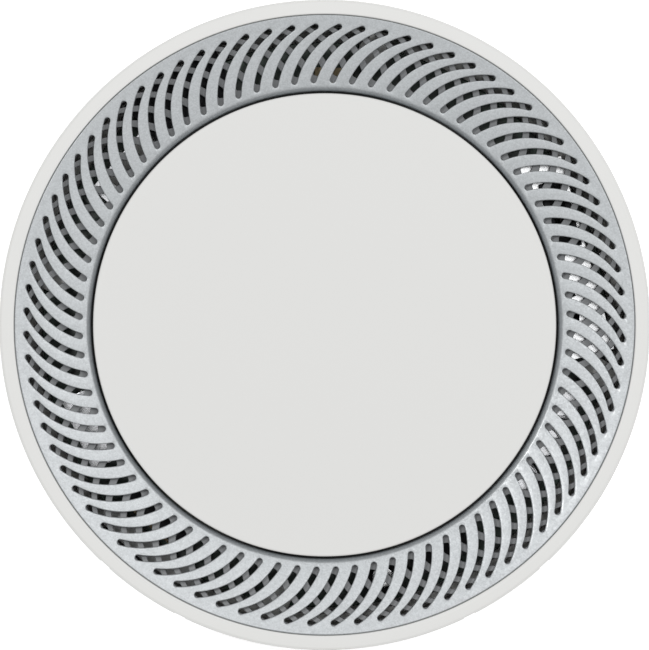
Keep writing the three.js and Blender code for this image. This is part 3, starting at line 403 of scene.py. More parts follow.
def piece_from(name, bm, finish, stands_for, body="drum"):
    """Scales a finished bmesh to metres and makes it a piece that rides on a body and replaces CAD nodes."""
    bmesh.ops.scale(bm, vec=(MM, MM, MM), verts=bm.verts)
    for face in bm.faces:
        face.smooth = True
    piece = as_object(name, bm)
    piece.data.set_sharp_from_angle(angle=SHARP)
    even = piece.modifiers.new("even normals", "WEIGHTED_NORMAL")
    even.keep_sharp = True
    even.weight = 100
    piece.data.materials.append(FINISHES[finish])
    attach(piece, body)
    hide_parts(*stands_for)
    return piece


# ---------------------------------------------------------------- slotted rings
def slot_turn(radius):
    """Degrees between a slot's centre line and the direction of its arc's centre, at a radius."""
    cosine = (radius**2 + ARC_CENTRE**2 - ARC_RADIUS**2) / (2 * ARC_CENTRE * radius)
    return math.degrees(math.acos(cosine))


def slot_outline(length, width, cap_steps, side_steps):
    """A round-ended loop along X, made from a circle whose halves are drawn apart."""
    bm = bmesh.new()
    bmesh.ops.create_circle(bm, segments=2 * cap_steps, radius=width / 2)
    turn_round(bm, 90 / cap_steps)
    for v in bm.verts:
        v.co.x += math.copysign(length / 2, v.co.x)
    long_edges = [e for e in bm.edges if e.verts[0].co.x * e.verts[1].co.x < 0]
    bmesh.ops.subdivide_edges(bm, edges=long_edges, cuts=side_steps - 1)
    return bm


def grow_loop(bm, edges, length, reach, depth):
    """Extrudes the loop round a slot to a new reach from its middle line and a new depth."""
    made = bmesh.ops.extrude_edge_only(bm, edges=edges)
    verts = new_verts(made)
    for v in verts:
        middle = max(-length / 2, min(length / 2, v.co.x))
        away = Vector((v.co.x - middle, v.co.y, 0)).normalized()
        v.co = Vector((middle, 0, depth)) + away * reach
    return loop_edges(made, verts)


def border_loop(bm, edges, length, depth, ends, cap_steps, border):
    """Extrudes a slot's loop to the edge of its share of the ring, and notes where each vertex goes."""
    made = bmesh.ops.extrude_edge_only(bm, edges=edges)
    verts = new_verts(made)
    widest = 90 - 90 / cap_steps
    for v in verts:
        middle = max(-length / 2, min(length / 2, v.co.x))
        across = math.degrees(math.atan2(v.co.y, abs(v.co.x - middle)))
        share = max(-1.0, min(1.0, across / widest))
        along = middle / length + 0.5
        border[v] = (ends[0] + (ends[1] - ends[0]) * along, share)
        v.co.z = depth


def slot_tile(spec):
    """One slot and its share of the ring, closed except at its four borders."""
    length = spec["length"]
    half = spec["width"] / 2
    edge = spec["edge_round"]
    wall = spec["wall"]
    cap_steps = spec["cap_steps"]
    bm = slot_outline(length, 2 * (half + edge), cap_steps, spec["side_steps"])
    rim = bm.edges[:]
    border = {}
    border_loop(bm, rim, length, 0, spec["ends"], cap_steps, border)
    loop = rim
    for step in range(1, spec["round_steps"] + 1):
        turn = math.pi / 2 * step / spec["round_steps"]
        loop = grow_loop(bm, loop, length, half + edge * (1 - math.sin(turn)), -edge * (1 - math.cos(turn)))
    loop = grow_loop(bm, loop, length, half, edge - wall)
    loop = grow_loop(bm, loop, length, half + edge, -wall)
    border_loop(bm, loop, length, -wall, spec["ends"], cap_steps, border)
    for v in bm.verts:
        depth = v.co.z
        if v in border:
            radius, share = border[v]
            x, y = polar(radius, spec["turn"](radius) + share * PITCH / 2)
        else:
            x, y = spec["place"](v.co.x, v.co.y)
        v.co = (x, y, spec["height"](math.hypot(x, y)) + depth)
    return bm


def round_the_ring(bm, phase):
    """Repeats a tile round the axis and welds the copies."""
    bmesh.ops.spin(
        bm, geom=bm.verts[:] + bm.edges[:] + bm.faces[:], axis=(0, 0, 1), cent=(0, 0, 0), angle=math.tau,
        steps=SLOTS, use_duplicate=True,
    )
    bmesh.ops.remove_doubles(bm, verts=bm.verts, dist=RING_WELD)
    turn_round(bm, phase)


def open_circle(bm, radius, height):
    return [e for e in bm.edges if e.is_boundary and is_ring_edge(e, radius, height)]


def carry_round(bm, edges, path):
    """Extrudes a circle of edges through (radius, height) stations."""
    for radius, height in path:
        made = bmesh.ops.extrude_edge_only(bm, edges=edges)
        verts = new_verts(made)
        for v in verts:
            away = Vector((v.co.x, v.co.y, 0)).normalized() * radius
            v.co = (away.x, away.y, height)
        edges = loop_edges(made, verts)


def quarter(centre, radius, start, sweep, steps=4):
    """Stations on an arc in the section, from a start angle through a sweep, in degrees."""
    turns = [math.radians(start + sweep * i / steps) for i in range(steps + 1)]
    return [(centre[0] + radius * math.cos(t), centre[1] + radius * math.sin(t)) for t in turns]


def close_ring(bm):
    bmesh.ops.remove_doubles(bm, verts=bm.verts, dist=RING_WELD)
    bmesh.ops.recalc_face_normals(bm, faces=bm.faces)


def arc_place(turn, across):
    """Where a point beside a slot's arc goes, with the arc's centre on +X."""
    reach = ARC_RADIUS + across
    return ARC_CENTRE + reach * math.cos(turn), reach * math.sin(turn)


def arc_turn(radius):
    """The angle at the arc's centre of the arc's point at a radius."""
    cosine = (radius**2 - ARC_CENTRE**2 - ARC_RADIUS**2) / (2 * ARC_CENTRE * ARC_RADIUS)
    return math.acos(cosine)


def grille_bm():
    start, end = arc_turn(SLOT_INNER_END), arc_turn(SLOT_OUTER_END)
    length = ARC_RADIUS * (start - end)
    inner_border = LIP_INNER + GRILLE_ROLL * (1 - math.sin(GRILLE_TILT))
    outer_border = GRILLE_RIM_START
    bm = slot_tile({
        "length": length,
        "width": SLOT_WIDTH,
        "edge_round": SLOT_EDGE_ROUND,
        "wall": GRILLE_WALL,
        "cap_steps": 8,
        "side_steps": 14,
        "round_steps": 3,
        "ends": (inner_border, outer_border),
        "turn": slot_turn,
        "place": lambda x, y: arc_place(start + (end - start) * (x / length + 0.5), y),
        "height": grille_height,
    })
    round_the_ring(bm, SLOT_PHASE)
    inner_top = grille_height(inner_border)
    lip = LIP_INNER + GRILLE_LIP_WALL
    roll_centre = (LIP_INNER + GRILLE_ROLL, inner_top - GRILLE_ROLL * math.cos(GRILLE_TILT))
    tilt = math.degrees(GRILLE_TILT)
    carry_round(bm, open_circle(bm, inner_border, inner_top), [
        *quarter(roll_centre, GRILLE_ROLL, 90 + tilt, 90 - tilt, 8)[1:],
        (LIP_INNER, LIP_BOTTOM + LIP_CHAMFER),
        (LIP_INNER + LIP_CHAMFER, LIP_BOTTOM),
        (lip, LIP_BOTTOM),
        (lip, inner_top - GRILLE_WALL),
        (inner_border, inner_top - GRILLE_WALL),
    ])
    skirt_bottom = baffle_height(GRILLE_RIM_START) + FIT
    edge_centre = (GRILLE_OUTER - GRILLE_EDGE_ROUND, GRILLE_EDGE_TOP - GRILLE_EDGE_ROUND)
    outer_top = grille_height(outer_border)
    carry_round(bm, open_circle(bm, outer_border, outer_top), [
        *quarter(edge_centre, GRILLE_EDGE_ROUND, 90, -90),
        (GRILLE_OUTER, skirt_bottom),
        (GRILLE_RIM_START, skirt_bottom),
        (GRILLE_RIM_START, outer_top - GRILLE_WALL),
    ])
    close_ring(bm)
    return bm


def baffle_bm():
    inner_end, outer_end = BAFFLE_INNER + BAFFLE_SLOT_MARGIN, GRILLE_RIM_START - FIT
    length = outer_end - inner_end
    inner_border, outer_border = BAFFLE_INNER + BAFFLE_BORDER, GRILLE_RIM_START
    half_pitch = PITCH / 2

    def place(x, y):
        radius = inner_end + length * (x / length + 0.5)
        return polar(radius, y * half_pitch - slot_turn(radius))

    bm = slot_tile({
        "length": length - 2 * BAFFLE_SHARE,
        "width": 2 * BAFFLE_SHARE,
        "edge_round": BAFFLE_EDGE_ROUND,
        "wall": BAFFLE_WALL,
        "cap_steps": 4,
        "side_steps": 10,
        "round_steps": 2,
        "ends": (inner_border, outer_border),
        "turn": lambda radius: -slot_turn(radius),
        "place": place,
        "height": baffle_height,
    })
    round_the_ring(bm, BAFFLE_PHASE)
    top_in, top_out = baffle_height(inner_border), baffle_height(outer_border)
    carry_round(bm, open_circle(bm, inner_border, top_in), [
        (BAFFLE_INNER, top_in), (BAFFLE_INNER, top_in - BAFFLE_WALL), (inner_border, top_in - BAFFLE_WALL),
    ])
    carry_round(bm, open_circle(bm, outer_border, top_out), [
        (GRILLE_OUTER, top_out), (GRILLE_OUTER, top_out - BAFFLE_WALL), (outer_border, top_out - BAFFLE_WALL),
    ])
    close_ring(bm)
    return bm


# ---------------------------------------------------------------- drum and disc
def drum_bm():
    """The drum, with its snap windows, the mark at its lowest point and its four screw bosses."""
    inner_top = SHELL_INNER_BACK + SHELL_DRAFT / 2
    ledge_radius = MOUTH_RADIUS - LEDGE_REACH
    bm = turned([
        (MOUTH_RADIUS, RIM_TOP, MOUTH_ROUND),
        (BODY_RADIUS, RIM_TOP, LIP_ROUND),
        (BACK_RADIUS, SHELL_BOTTOM, ROUND_MIDDLE),
        (SHELL_INNER_BACK, SHELL_BOTTOM),
        (inner_top, LEDGE_TOP - LEDGE_THICKNESS - 1),
        (ledge_radius, LEDGE_TOP - LEDGE_THICKNESS),
        (ledge_radius, LEDGE_TOP, ROUND_SMALL),
        (GRILLE_OUTER + SEAT_GAP, LEDGE_TOP),
        (GRILLE_OUTER + SEAT_GAP, GRILLE_EDGE_TOP - SEAT_TOP_DEPTH),
        (MOUTH_RADIUS, GRILLE_EDGE_TOP - MOUTH_DEPTH),
    ])
    width, depth, height = SNAP_SIZE
    windows = [
        turn_round(block(
            (-width / 2, -BODY_RADIUS - OVERSHOOT, SNAP_TOP - height),
            (width / 2, -BODY_RADIUS + depth, SNAP_TOP),
        ), angle)
        for angle in SNAP_ANGLES
    ]
    width, depth, height = NIB_SIZE
    nib = block(
        (-width / 2, -BODY_RADIUS - depth, NIB_TOP - height), (width / 2, -BODY_RADIUS + 1, NIB_TOP),
        ROUND_MIDDLE,
    )
    boss_bottom = FLOOR_TOP + FIT
    bosses = [peg(BOSS_RADIUS, boss_bottom, BOSS_TOP, polar(BOSS_CIRCLE, angle)) for angle in BOSS_ANGLES]
    ribs = [
        turn_round(block(
            (BOSS_CIRCLE + BOSS_RADIUS - BOSS_RIB_SINK, -BOSS_RIB_WIDTH / 2, SPIGOT_TOP + FIT),
            (SHELL_INNER_BACK + BOSS_RIB_SINK, BOSS_RIB_WIDTH / 2, BOSS_TOP - FIT),
        ), angle)
        for angle in BOSS_ANGLES
    ]
    bore_top = boss_bottom + SCREW_BORE_DEPTH
    bores = [
        peg(SCREW_BORE, boss_bottom - OVERSHOOT, bore_top, polar(BOSS_CIRCLE, angle), BORE_SIDES)
        for angle in BOSS_ANGLES
    ]
    return carved(bm, cuts=windows + bores, joins=[nib] + bosses + ribs)


def disc_bm():
    radius = DISC_RADIUS - DISC_TRIM
    return turned([
        (0, DISC_BOTTOM),
        (radius, DISC_BOTTOM, ROUND_SMALL),
        (radius, DISC_TOP, DISC_ROUND),
        (0, DISC_TOP),
    ])


# ---------------------------------------------------------------- rear cover and mount plate
def cover_profile():
    """Section of the rear cover: floor, bayonet collar, skirt tucked in towards the wall, and spigot."""
    cover_edge = SHELL_BOTTOM - FIT
    spigot_outer = SHELL_INNER_BACK - FIT
    turns = [math.pi / 2 * i / TUCK_STEPS for i in range(TUCK_STEPS, -1, -1)]
    tuck = [
        (SKIRT_RADIUS + SKIRT_TUCK * math.cos(turn), cover_edge - (cover_edge - SKIRT_LIFT) * math.sin(turn))
        for turn in turns
    ]
    return [
        (0, FLOOR_BOTTOM),
        (COLLAR_INNER, FLOOR_BOTTOM, ROUND_LARGE),
        (COLLAR_INNER, PLATE_THICKNESS + FIT, ROUND_MIDDLE),
        (COLLAR_OUTER, PLATE_THICKNESS + FIT, ROUND_MIDDLE),
        (COLLAR_OUTER, FLOOR_BOTTOM, ROUND_LARGE),
        (SKIRT_INNER, FLOOR_BOTTOM, ROUND_LARGE),
        (SKIRT_INNER, SKIRT_LIFT, ROUND_SMALL),
        *tuck,
        (spigot_outer, cover_edge),
        (spigot_outer, SPIGOT_TOP, ROUND_LARGE),
        (spigot_outer - SPIGOT_WALL, SPIGOT_TOP, ROUND_SMALL),
        (spigot_outer - SPIGOT_WALL, FLOOR_TOP),
        (0, FLOOR_TOP),
    ]


def bayonet_blocks():
    """The rear cover's three lugs, and the stops that end its turn on the plate both ways."""
    low = PLATE_THICKNESS + LUG_CLEARANCE
    high = low + LUG_THICKNESS
    inner, outer = COVER_LUG_TIP, COLLAR_INNER + LUG_SINK
    reach = PLATE_LUG_SWEEP / 2 + STOP_SWEEP / 2 + STOP_GAP
    stops = [angle + reach for angle in LUG_ANGLES] + [angle - reach - UNLOCK_TURN for angle in LUG_ANGLES]
    blocks = [swept(inner, outer, low, high, angle, COVER_LUG_SWEEP) for angle in LUG_ANGLES]
    blocks += [swept(inner, outer, low, FLOOR_BOTTOM + LUG_SINK, angle, STOP_SWEEP, 3) for angle in stops]
    return blocks


def lock_peg(radius, outer, inner):
    """A cylinder along Y at the lock screw's height, on the -Y side."""
    height = middle_mm("lock_screw").z
    return shift(turn_round(peg(radius, inner, outer), 90, "X"), (0, 0, height))


def rear_cover_bm():
    wall = WELL_WALL
    well = rounded_block(
        (WELL_LOW[0] - wall, WELL_LOW[1] - wall, FLOOR_BOTTOM + SINK),
        (WELL_HIGH[0] + wall, WELL_HIGH[1] + wall, WELL_TOP), WELL_CORNER + wall,
    )
    hollow = rounded_block((*WELL_LOW, FLOOR_BOTTOM - OVERSHOOT), (*WELL_HIGH, WELL_ROOF), WELL_CORNER)
    well_middle = (WELL_LOW[0] + WELL_HIGH[0]) / 2
    window_bottom = top_mm("main_board")
    window = block(
        (well_middle - JACK_WINDOW[0] / 2, WELL_LOW[1] - wall - OVERSHOOT, window_bottom),
        (well_middle + JACK_WINDOW[0] / 2, WELL_LOW[1] + 1, window_bottom + FIT + JACK_WINDOW[1]),
    )
    posts, bores = [], []
    post_top = FLOOR_TOP + POST_HEIGHT - FIT
    for screw in BOARD_SCREWS:
        place = middle_mm(screw).xy
        posts.append(peg(POST_RADIUS, FLOOR_BOTTOM + FLOOR_SINK, post_top, place))
        bores.append(peg(SCREW_BORE, post_top - POST_BORE_DEPTH, post_top + OVERSHOOT, place, BORE_SIDES))
    under, over = FLOOR_BOTTOM - OVERSHOOT, FLOOR_TOP + OVERSHOOT
    places = [polar(BOSS_CIRCLE, angle) for angle in BOSS_ANGLES]
    holes = [peg(SCREW_BORE, under, over, place, BORE_SIDES) for place in places]
    notch_radius = BOSS_RADIUS + BOSS_NOTCH_GAP
    notches = [peg(notch_radius, FLOOR_TOP + NOTCH_SILL, SPIGOT_TOP + OVERSHOOT, place) for place in places]
    boss_outer = -SKIRT_RADIUS + SKIRT_WALL / 2
    lock_boss = block(
        (-LOCK_BOSS[0] / 2, boss_outer, SKIRT_LIFT + SINK),
        (LOCK_BOSS[0] / 2, boss_outer + LOCK_BOSS[1], FLOOR_BOTTOM + FLOOR_SINK),
    )
    lock_bore = lock_peg(LOCK_BORE, BACK_RADIUS, -boss_outer - LOCK_BOSS[1] - OVERSHOOT)
    reset_hole = peg(RESET_HOLE, under, over, (RESET_X, 0))
    return carved(
        turned(cover_profile()),
        joins=[well, lock_boss] + posts + bayonet_blocks(),
        cuts=[hollow, window, lock_bore, reset_hole] + bores + holes + notches,
    )


def plate_slot_tools(radius, angle):
    """A slot with round ends that follows an arc, as three overlapping solids."""
    half = PLATE_SLOT_WIDTH / 2
    low, high = -OVERSHOOT, PLATE_THICKNESS + OVERSHOOT
    ends = [angle - PLATE_SLOT_SWEEP / 2, angle + PLATE_SLOT_SWEEP / 2]
    middle = swept(radius - half, radius + half, low, high, angle, PLATE_SLOT_SWEEP)
    return [middle] + [peg(half, low, high, polar(radius, end), BORE_SIDES) for end in ends]


def mount_plate_bm():
    bayonet_inner = BAYONET_OUTER - PLATE_WALL
    clamp_inner = CLAMP_OUTER - PLATE_WALL
    plate = turned([
        (PLATE_HOLE, 0, ROUND_SMALL),
        (CLAMP_OUTER, 0, PLATE_EDGE_ROUND),
        (CLAMP_OUTER, PLATE_RING_TOP, ROUND_MIDDLE),
        (clamp_inner, PLATE_RING_TOP, ROUND_MIDDLE),
        (clamp_inner, PLATE_THICKNESS, FILLET),
        (BAYONET_OUTER, PLATE_THICKNESS, FILLET),
        (BAYONET_OUTER, PLATE_RING_TOP, ROUND_MIDDLE),
        (bayonet_inner, PLATE_RING_TOP, ROUND_MIDDLE),
        (bayonet_inner, PLATE_THICKNESS, FILLET),
        (PLATE_HOLE, PLATE_THICKNESS, ROUND_SMALL),
    ])
    inner, low, high = BAYONET_OUTER - LUG_SINK, PLATE_RING_TOP - LUG_THICKNESS, PLATE_RING_TOP - SINK
    lugs = [swept(inner, PLATE_LUG_TIP, low, high, angle, PLATE_LUG_SWEEP) for angle in LUG_ANGLES]
    slots = [tool for radius, angle in PLATE_SLOTS for tool in plate_slot_tools(radius, angle)]
    return carved(plate, joins=lugs, cuts=slots)


def cable_seal_bm():
    """Foam frame round the mouth of the cable well."""
    low, high = bottom_mm("cable_seal"), top_mm("cable_seal")

    def frame_at(margin, bottom, top, corner):
        return rounded_block(
            (WELL_LOW[0] - margin, WELL_LOW[1] - margin, bottom),
            (WELL_HIGH[0] + margin, WELL_HIGH[1] + margin, top), corner,
        )

    opening = frame_at(SEAL_MARGIN, low - OVERSHOOT, high + OVERSHOOT, SEAL_CORNERS[0])
    return carved(frame_at(SEAL_MARGIN + SEAL_WIDTH, low, high, SEAL_CORNERS[1]), cuts=[opening])


# ---------------------------------------------------------------- fasteners and small parts
def thread_profile(low, high, radius):
    """Section of a threaded shank, from low to high: a crest and a root for each turn."""
    turns = int((high - low - 0.4) / THREAD_PITCH)
    points = []
    for i in range(turns):
        start = low + i * THREAD_PITCH
        points.append((radius, start + THREAD_CREST))
        points.append((radius - THREAD_DEPTH, start + THREAD_ROOT))
    return points


def screw_bm(shank_length):
    """Screw along +Z with its head's seat at height 0, a threaded shank and a hexagon socket."""
    bm = turned([
        (0, -SCREW_HEAD_HEIGHT),
        (SCREW_HEAD, -SCREW_HEAD_HEIGHT, SCREW_HEAD_ROUND),
        (SCREW_HEAD, 0, SCREW_SEAT_ROUND),
        (SCREW_SHANK, 0),
        *thread_profile(0.3, shank_length - 0.6, SCREW_SHANK),
        (SCREW_SHANK * 0.5, shank_length),
        (0, shank_length),
    ], SCREW_SIDES)
    socket_floor = -SCREW_HEAD_HEIGHT * 0.4
    socket = peg(SCREW_HEAD * SOCKET_SHARE, -SCREW_HEAD_HEIGHT - OVERSHOOT, socket_floor, sides=6)
    return carved(bm, cuts=[socket])


def add_screws():
    """Cover screws stand on their heads, and board screws hang from theirs."""
    for name in COVER_SCREWS + BOARD_SCREWS:
        low, high = bottom_mm(name), top_mm(name)
        bm = screw_bm(high - low - SCREW_HEAD_HEIGHT)
        seat = low + SCREW_HEAD_HEIGHT
        if name in BOARD_SCREWS:
            turn_round(bm, 180, "X")
            seat = high - SCREW_HEAD_HEIGHT
        shift(bm, (*middle_mm(name).xy, seat))
        piece_from(name + "_fine", bm, "zinc_steel", [name])


def lock_screw_bm():
    """Socket set screw along Y, with its tip towards the axis."""
    low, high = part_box("lock_screw")
    radius = (high.x - low.x) / 2 / MM
    length = (high.y - low.y) / MM
    bm = turned([
        (0, 0),
        (radius * 0.45, 0),
        *thread_profile(0.4, length - 0.2, radius),
        (radius - THREAD_DEPTH, length),
        (0, length),
    ], SCREW_SIDES)
    socket = peg(radius * SOCKET_SHARE, length - LOCK_SOCKET_DEPTH, length + OVERSHOOT, sides=6)
    bm = turn_round(carved(bm, cuts=[socket]), 90, "X")
    return shift(bm, (0, high.y / MM, middle_mm("lock_screw").z))


def capacitor_bm(node):
    """Aluminium can with a rolled groove near its foot and a sunk top."""
    middle = middle_mm(node)
    low, high = bottom_mm(node), top_mm(node)
    radius = (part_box(node)[1].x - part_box(node)[0].x) / 2 / MM
    bm = turned([
        (0, low),
        (radius, low, ROUND_LARGE),
        (radius, low + CAN_GROOVE[0], ROUND_SMALL),
        (radius - CAN_GROOVE_DEPTH, low + CAN_GROOVE[1], ROUND_SMALL),
        (radius, low + CAN_GROOVE[2], ROUND_SMALL),
        (radius, high - CAN_TOP_DROP, CAN_TOP_ROUND),
        (radius - CAN_CROWN_INSETS[0], high - CAN_TOP_DROP),
        (radius - CAN_CROWN_INSETS[1], high - CAN_CROWN_DROP),
        (0, high - CAN_CROWN_DROP),
    ], CAN_SIDES)
    return shift(bm, (*middle.xy, 0))


# ---------------------------------------------------------------- shared effects
def shader_group(name, inputs, outputs):
    """An empty shader node group with named inputs, which hold (kind, default), and named outputs."""
    tree = bpy.data.node_groups.new(name, "ShaderNodeTree")
    for socket, (kind, default) in inputs.items():
        made = tree.interface.new_socket(name=socket, in_out="INPUT", socket_type=kind)
        made.default_value = default
    for socket, kind in outputs.items():
        tree.interface.new_socket(name=socket, in_out="OUTPUT", socket_type=kind)
    return tree, tree.nodes.new("NodeGroupInput"), tree.nodes.new("NodeGroupOutput")


def feed(tree, value, socket):
    """Links an output to a socket, or sets the socket to a number."""
    if isinstance(value, (int, float)):
        socket.default_value = value
    else:
        tree.links.new(value, socket)


def math_node(tree, operation, first, second):
    node = tree.nodes.new("ShaderNodeMath")
    node.operation = operation
    feed(tree, first, node.inputs[0])
    feed(tree, second, node.inputs[1])
    return node.outputs[0]


def swing(tree, factor, middle, amount):
    """A 0..1 factor spread evenly about a middle value."""
    spread = math_node(tree, "MULTIPLY", math_node(tree, "SUBTRACT", factor, 0.5), amount)
    return math_node(tree, "ADD", spread, middle)


def noise(tree, coordinates, scale, detail=3.0, roughness=0.5):
    node = tree.nodes.new("ShaderNodeTexNoise")
    node.inputs["Detail"].default_value = detail
    node.inputs["Roughness"].default_value = roughness
    tree.links.new(coordinates, node.inputs["Vector"])
    feed(tree, scale, node.inputs["Scale"])
    return node.outputs["Fac"]


def cells(tree, coordinates, scale, feature="F1", output="Distance"):
    node = tree.nodes.new("ShaderNodeTexVoronoi")
    node.feature = feature
    tree.links.new(coordinates, node.inputs["Vector"])
    feed(tree, scale, node.inputs["Scale"])
    return node.outputs[output]


def tinted(tree, colour, factor, amount):
    """The colour made lighter and darker by a 0..1 factor."""
    scale = tree.nodes.new("ShaderNodeVectorMath")
    scale.operation = "SCALE"
    tree.links.new(colour, scale.inputs["Vector"])
    tree.links.new(swing(tree, factor, 1.0, amount), scale.inputs["Scale"])
    return scale.outputs["Vector"]


def object_place(tree):
    return tree.nodes.new("ShaderNodeTexCoord").outputs["Object"]


SURFACE_OUTPUTS = {"Colour": "NodeSocketColor", "Roughness": "NodeSocketFloat", "Height": "NodeSocketFloat"}


def skin_group():
    """Moulded plastic: slow mottling in colour and gloss, and the mould's spark-eroded grain in height."""
    tree, given, result = shader_group(
        "moulded skin",
        {
            "Colour": ("NodeSocketColor", (0.8, 0.8, 0.8, 1)),
            "Mottle": ("NodeSocketFloat", 0.03),
            "Gloss": ("NodeSocketFloat", 0.4),
            "Gloss Spread": ("NodeSocketFloat", 0.08),
            "Grain Scale": ("NodeSocketFloat", 2500.0),
        },
        SURFACE_OUTPUTS,
    )
    place = object_place(tree)
    slow = noise(tree, place, scale=45.0, detail=4.0, roughness=0.6)
    grain = noise(tree, place, given.outputs["Grain Scale"], detail=2.0)
    halves = [math_node(tree, "MULTIPLY", part, 0.5) for part in (slow, grain)]
    fine = math_node(tree, "ADD", *halves)
    mottled = tinted(tree, given.outputs["Colour"], fine, given.outputs["Mottle"])
    tree.links.new(mottled, result.inputs["Colour"])
    gloss = swing(tree, fine, given.outputs["Gloss"], given.outputs["Gloss Spread"])
    tree.links.new(gloss, result.inputs["Roughness"])
    tree.links.new(grain, result.inputs["Height"])
    return tree


def streak_group():
    """Rolled, drawn or turned metal: fine streaks along one axis, and cloudy plating."""
    tree, given, result = shader_group(
        "drawn metal",
        {
            "Colour": ("NodeSocketColor", (0.6, 0.6, 0.6, 1)),
            "Streaks": ("NodeSocketFloat", 0.25),
            "Gloss": ("NodeSocketFloat", 0.3),
            "Cloud": ("NodeSocketFloat", 0.12),
        },
        SURFACE_OUTPUTS,
    )
    place = object_place(tree)
    stretch = tree.nodes.new("ShaderNodeMapping")
    stretch.inputs["Scale"].default_value = (1.0, 30.0, 12.0)
    tree.links.new(place, stretch.inputs["Vector"])
    streaks = noise(tree, stretch.outputs["Vector"], scale=120.0, detail=5.0, roughness=0.7)
    cloud = noise(tree, place, scale=160.0)
    clouded = tinted(tree, given.outputs["Colour"], cloud, given.outputs["Cloud"])
    tree.links.new(tinted(tree, clouded, streaks, given.outputs["Streaks"]), result.inputs["Colour"])
    gloss = swing(tree, streaks, given.outputs["Gloss"], given.outputs["Streaks"])
    tree.links.new(gloss, result.inputs["Roughness"])
    tree.links.new(streaks, result.inputs["Height"])
    return tree


COAT_TINT = 0.03


def flake_group():
    """Silver paint: flakes of aluminium that differ in tone and gloss, under an uneven coat."""
    tree, given, result = shader_group(
        "metal flake",
        {
            "Colour": ("NodeSocketColor", (0.6, 0.6, 0.6, 1)),
            "Flake": ("NodeSocketFloat", 0.12),
            "Flake Scale": ("NodeSocketFloat", 9000.0),
            "Gloss": ("NodeSocketFloat", 0.4),
            "Gloss Spread": ("NodeSocketFloat", 0.1),
        },
        SURFACE_OUTPUTS,
    )
    place = object_place(tree)
    flakes = cells(tree, place, given.outputs["Flake Scale"], output="Color")
    tone = tree.nodes.new("ShaderNodeSeparateColor")
    tree.links.new(flakes, tone.inputs["Color"])
    coat = noise(tree, place, scale=60.0)
    clouded = tinted(tree, given.outputs["Colour"], coat, COAT_TINT)
    flaked = tinted(tree, clouded, tone.outputs["Red"], given.outputs["Flake"])
    tree.links.new(flaked, result.inputs["Colour"])
    gloss = swing(tree, tone.outputs["Green"], given.outputs["Gloss"], given.outputs["Gloss Spread"])
    tree.links.new(gloss, result.inputs["Roughness"])
    tree.links.new(tone.outputs["Blue"], result.inputs["Height"])
    return tree


TRACK_WIDTH = 0.12  # from a cell's border, in cells
FLOOD_LEVEL = 0.56  # noise above this is flooded with copper
WEAVE_SHARE = 0.2  # of the copper's height


def mask_group():
    """Green solder mask over copper: wandering tracks, flooded areas and the board's fine weave."""
    tree, given, result = shader_group(
        "solder mask",
        {
            "Colour": ("NodeSocketColor", (0.01, 0.1, 0.04, 1)),
            "Copper Tint": ("NodeSocketFloat", 0.6),
            "Gloss": ("NodeSocketFloat", 0.35),
            "Track Scale": ("NodeSocketFloat", 220.0),
        },
        SURFACE_OUTPUTS,
    )
    place = object_place(tree)
    edges = cells(tree, place, given.outputs["Track Scale"], "DISTANCE_TO_EDGE")
    tracks = math_node(tree, "LESS_THAN", edges, TRACK_WIDTH)
    flood = math_node(tree, "GREATER_THAN", noise(tree, place, scale=70.0, detail=1.0), FLOOD_LEVEL)
    copper = math_node(tree, "MAXIMUM", tracks, flood)
    weave = noise(tree, place, scale=2600.0, detail=2.0)
    raised = math_node(tree, "ADD", copper, math_node(tree, "MULTIPLY", weave, WEAVE_SHARE))
    tree.links.new(
        tinted(tree, given.outputs["Colour"], copper, given.outputs["Copper Tint"]), result.inputs["Colour"]
    )
    tree.links.new(swing(tree, weave, given.outputs["Gloss"], 0.15), result.inputs["Roughness"])
    tree.links.new(raised, result.inputs["Height"])
    return tree


def cell_group():
    """Closed-cell foam: open bubbles in the cut face, with painted shade that darkens their bottoms."""
    tree, given, result = shader_group(
        "foam cells",
        {
            "Colour": ("NodeSocketColor", (0.03, 0.03, 0.03, 1)),
            "Depth Tint": ("NodeSocketFloat", 0.9),
            "Cell Scale": ("NodeSocketFloat", 1600.0),
            "Gloss": ("NodeSocketFloat", 0.9),
        },
        SURFACE_OUTPUTS,
    )
    place = object_place(tree)
    bubbles = cells(tree, place, given.outputs["Cell Scale"])
    # painted shade: each bubble's colour is darkened towards its centre, its deepest point
    tree.links.new(
        tinted(tree, given.outputs["Colour"], bubbles, given.outputs["Depth Tint"]), result.inputs["Colour"]
    )
    tree.links.new(swing(tree, bubbles, given.outputs["Gloss"], 0.1), result.inputs["Roughness"])
    tree.links.new(bubbles, result.inputs["Height"])
    return tree


SKIN = skin_group()
DRAWN = streak_group()
FLAKE = flake_group()
MASK = mask_group()
FOAM = cell_group()


# ---------------------------------------------------------------- finishes
MOULDED_SPREAD = 0.06  # of the gloss
METAL_BUMP = (0.08, 1e-5)


def finish_with(name, group, colour, values, bump, fixed):
    """A Principled material fed by a shared group's colour, roughness and height."""
    material = bpy.data.materials.new(name)
    material.use_nodes = True
    tree = material.node_tree
    shader = tree.nodes["Principled BSDF"]
    for socket, value in fixed.items():
        shader.inputs[socket.replace("_", " ")].default_value = value
    placed = tree.nodes.new("ShaderNodeGroup")
    placed.node_tree = group
    for socket, value in {"Colour": (*colour, 1), **values}.items():
        placed.inputs[socket].default_value = value
    tree.links.new(placed.outputs["Colour"], shader.inputs["Base Color"])
    tree.links.new(placed.outputs["Roughness"], shader.inputs["Roughness"])
    raised = tree.nodes.new("ShaderNodeBump")
    raised.inputs["Strength"].default_value = bump[0]
    raised.inputs["Distance"].default_value = bump[1]
    tree.links.new(placed.outputs["Height"], raised.inputs["Height"])
    tree.links.new(raised.outputs["Normal"], shader.inputs["Normal"])
    return material


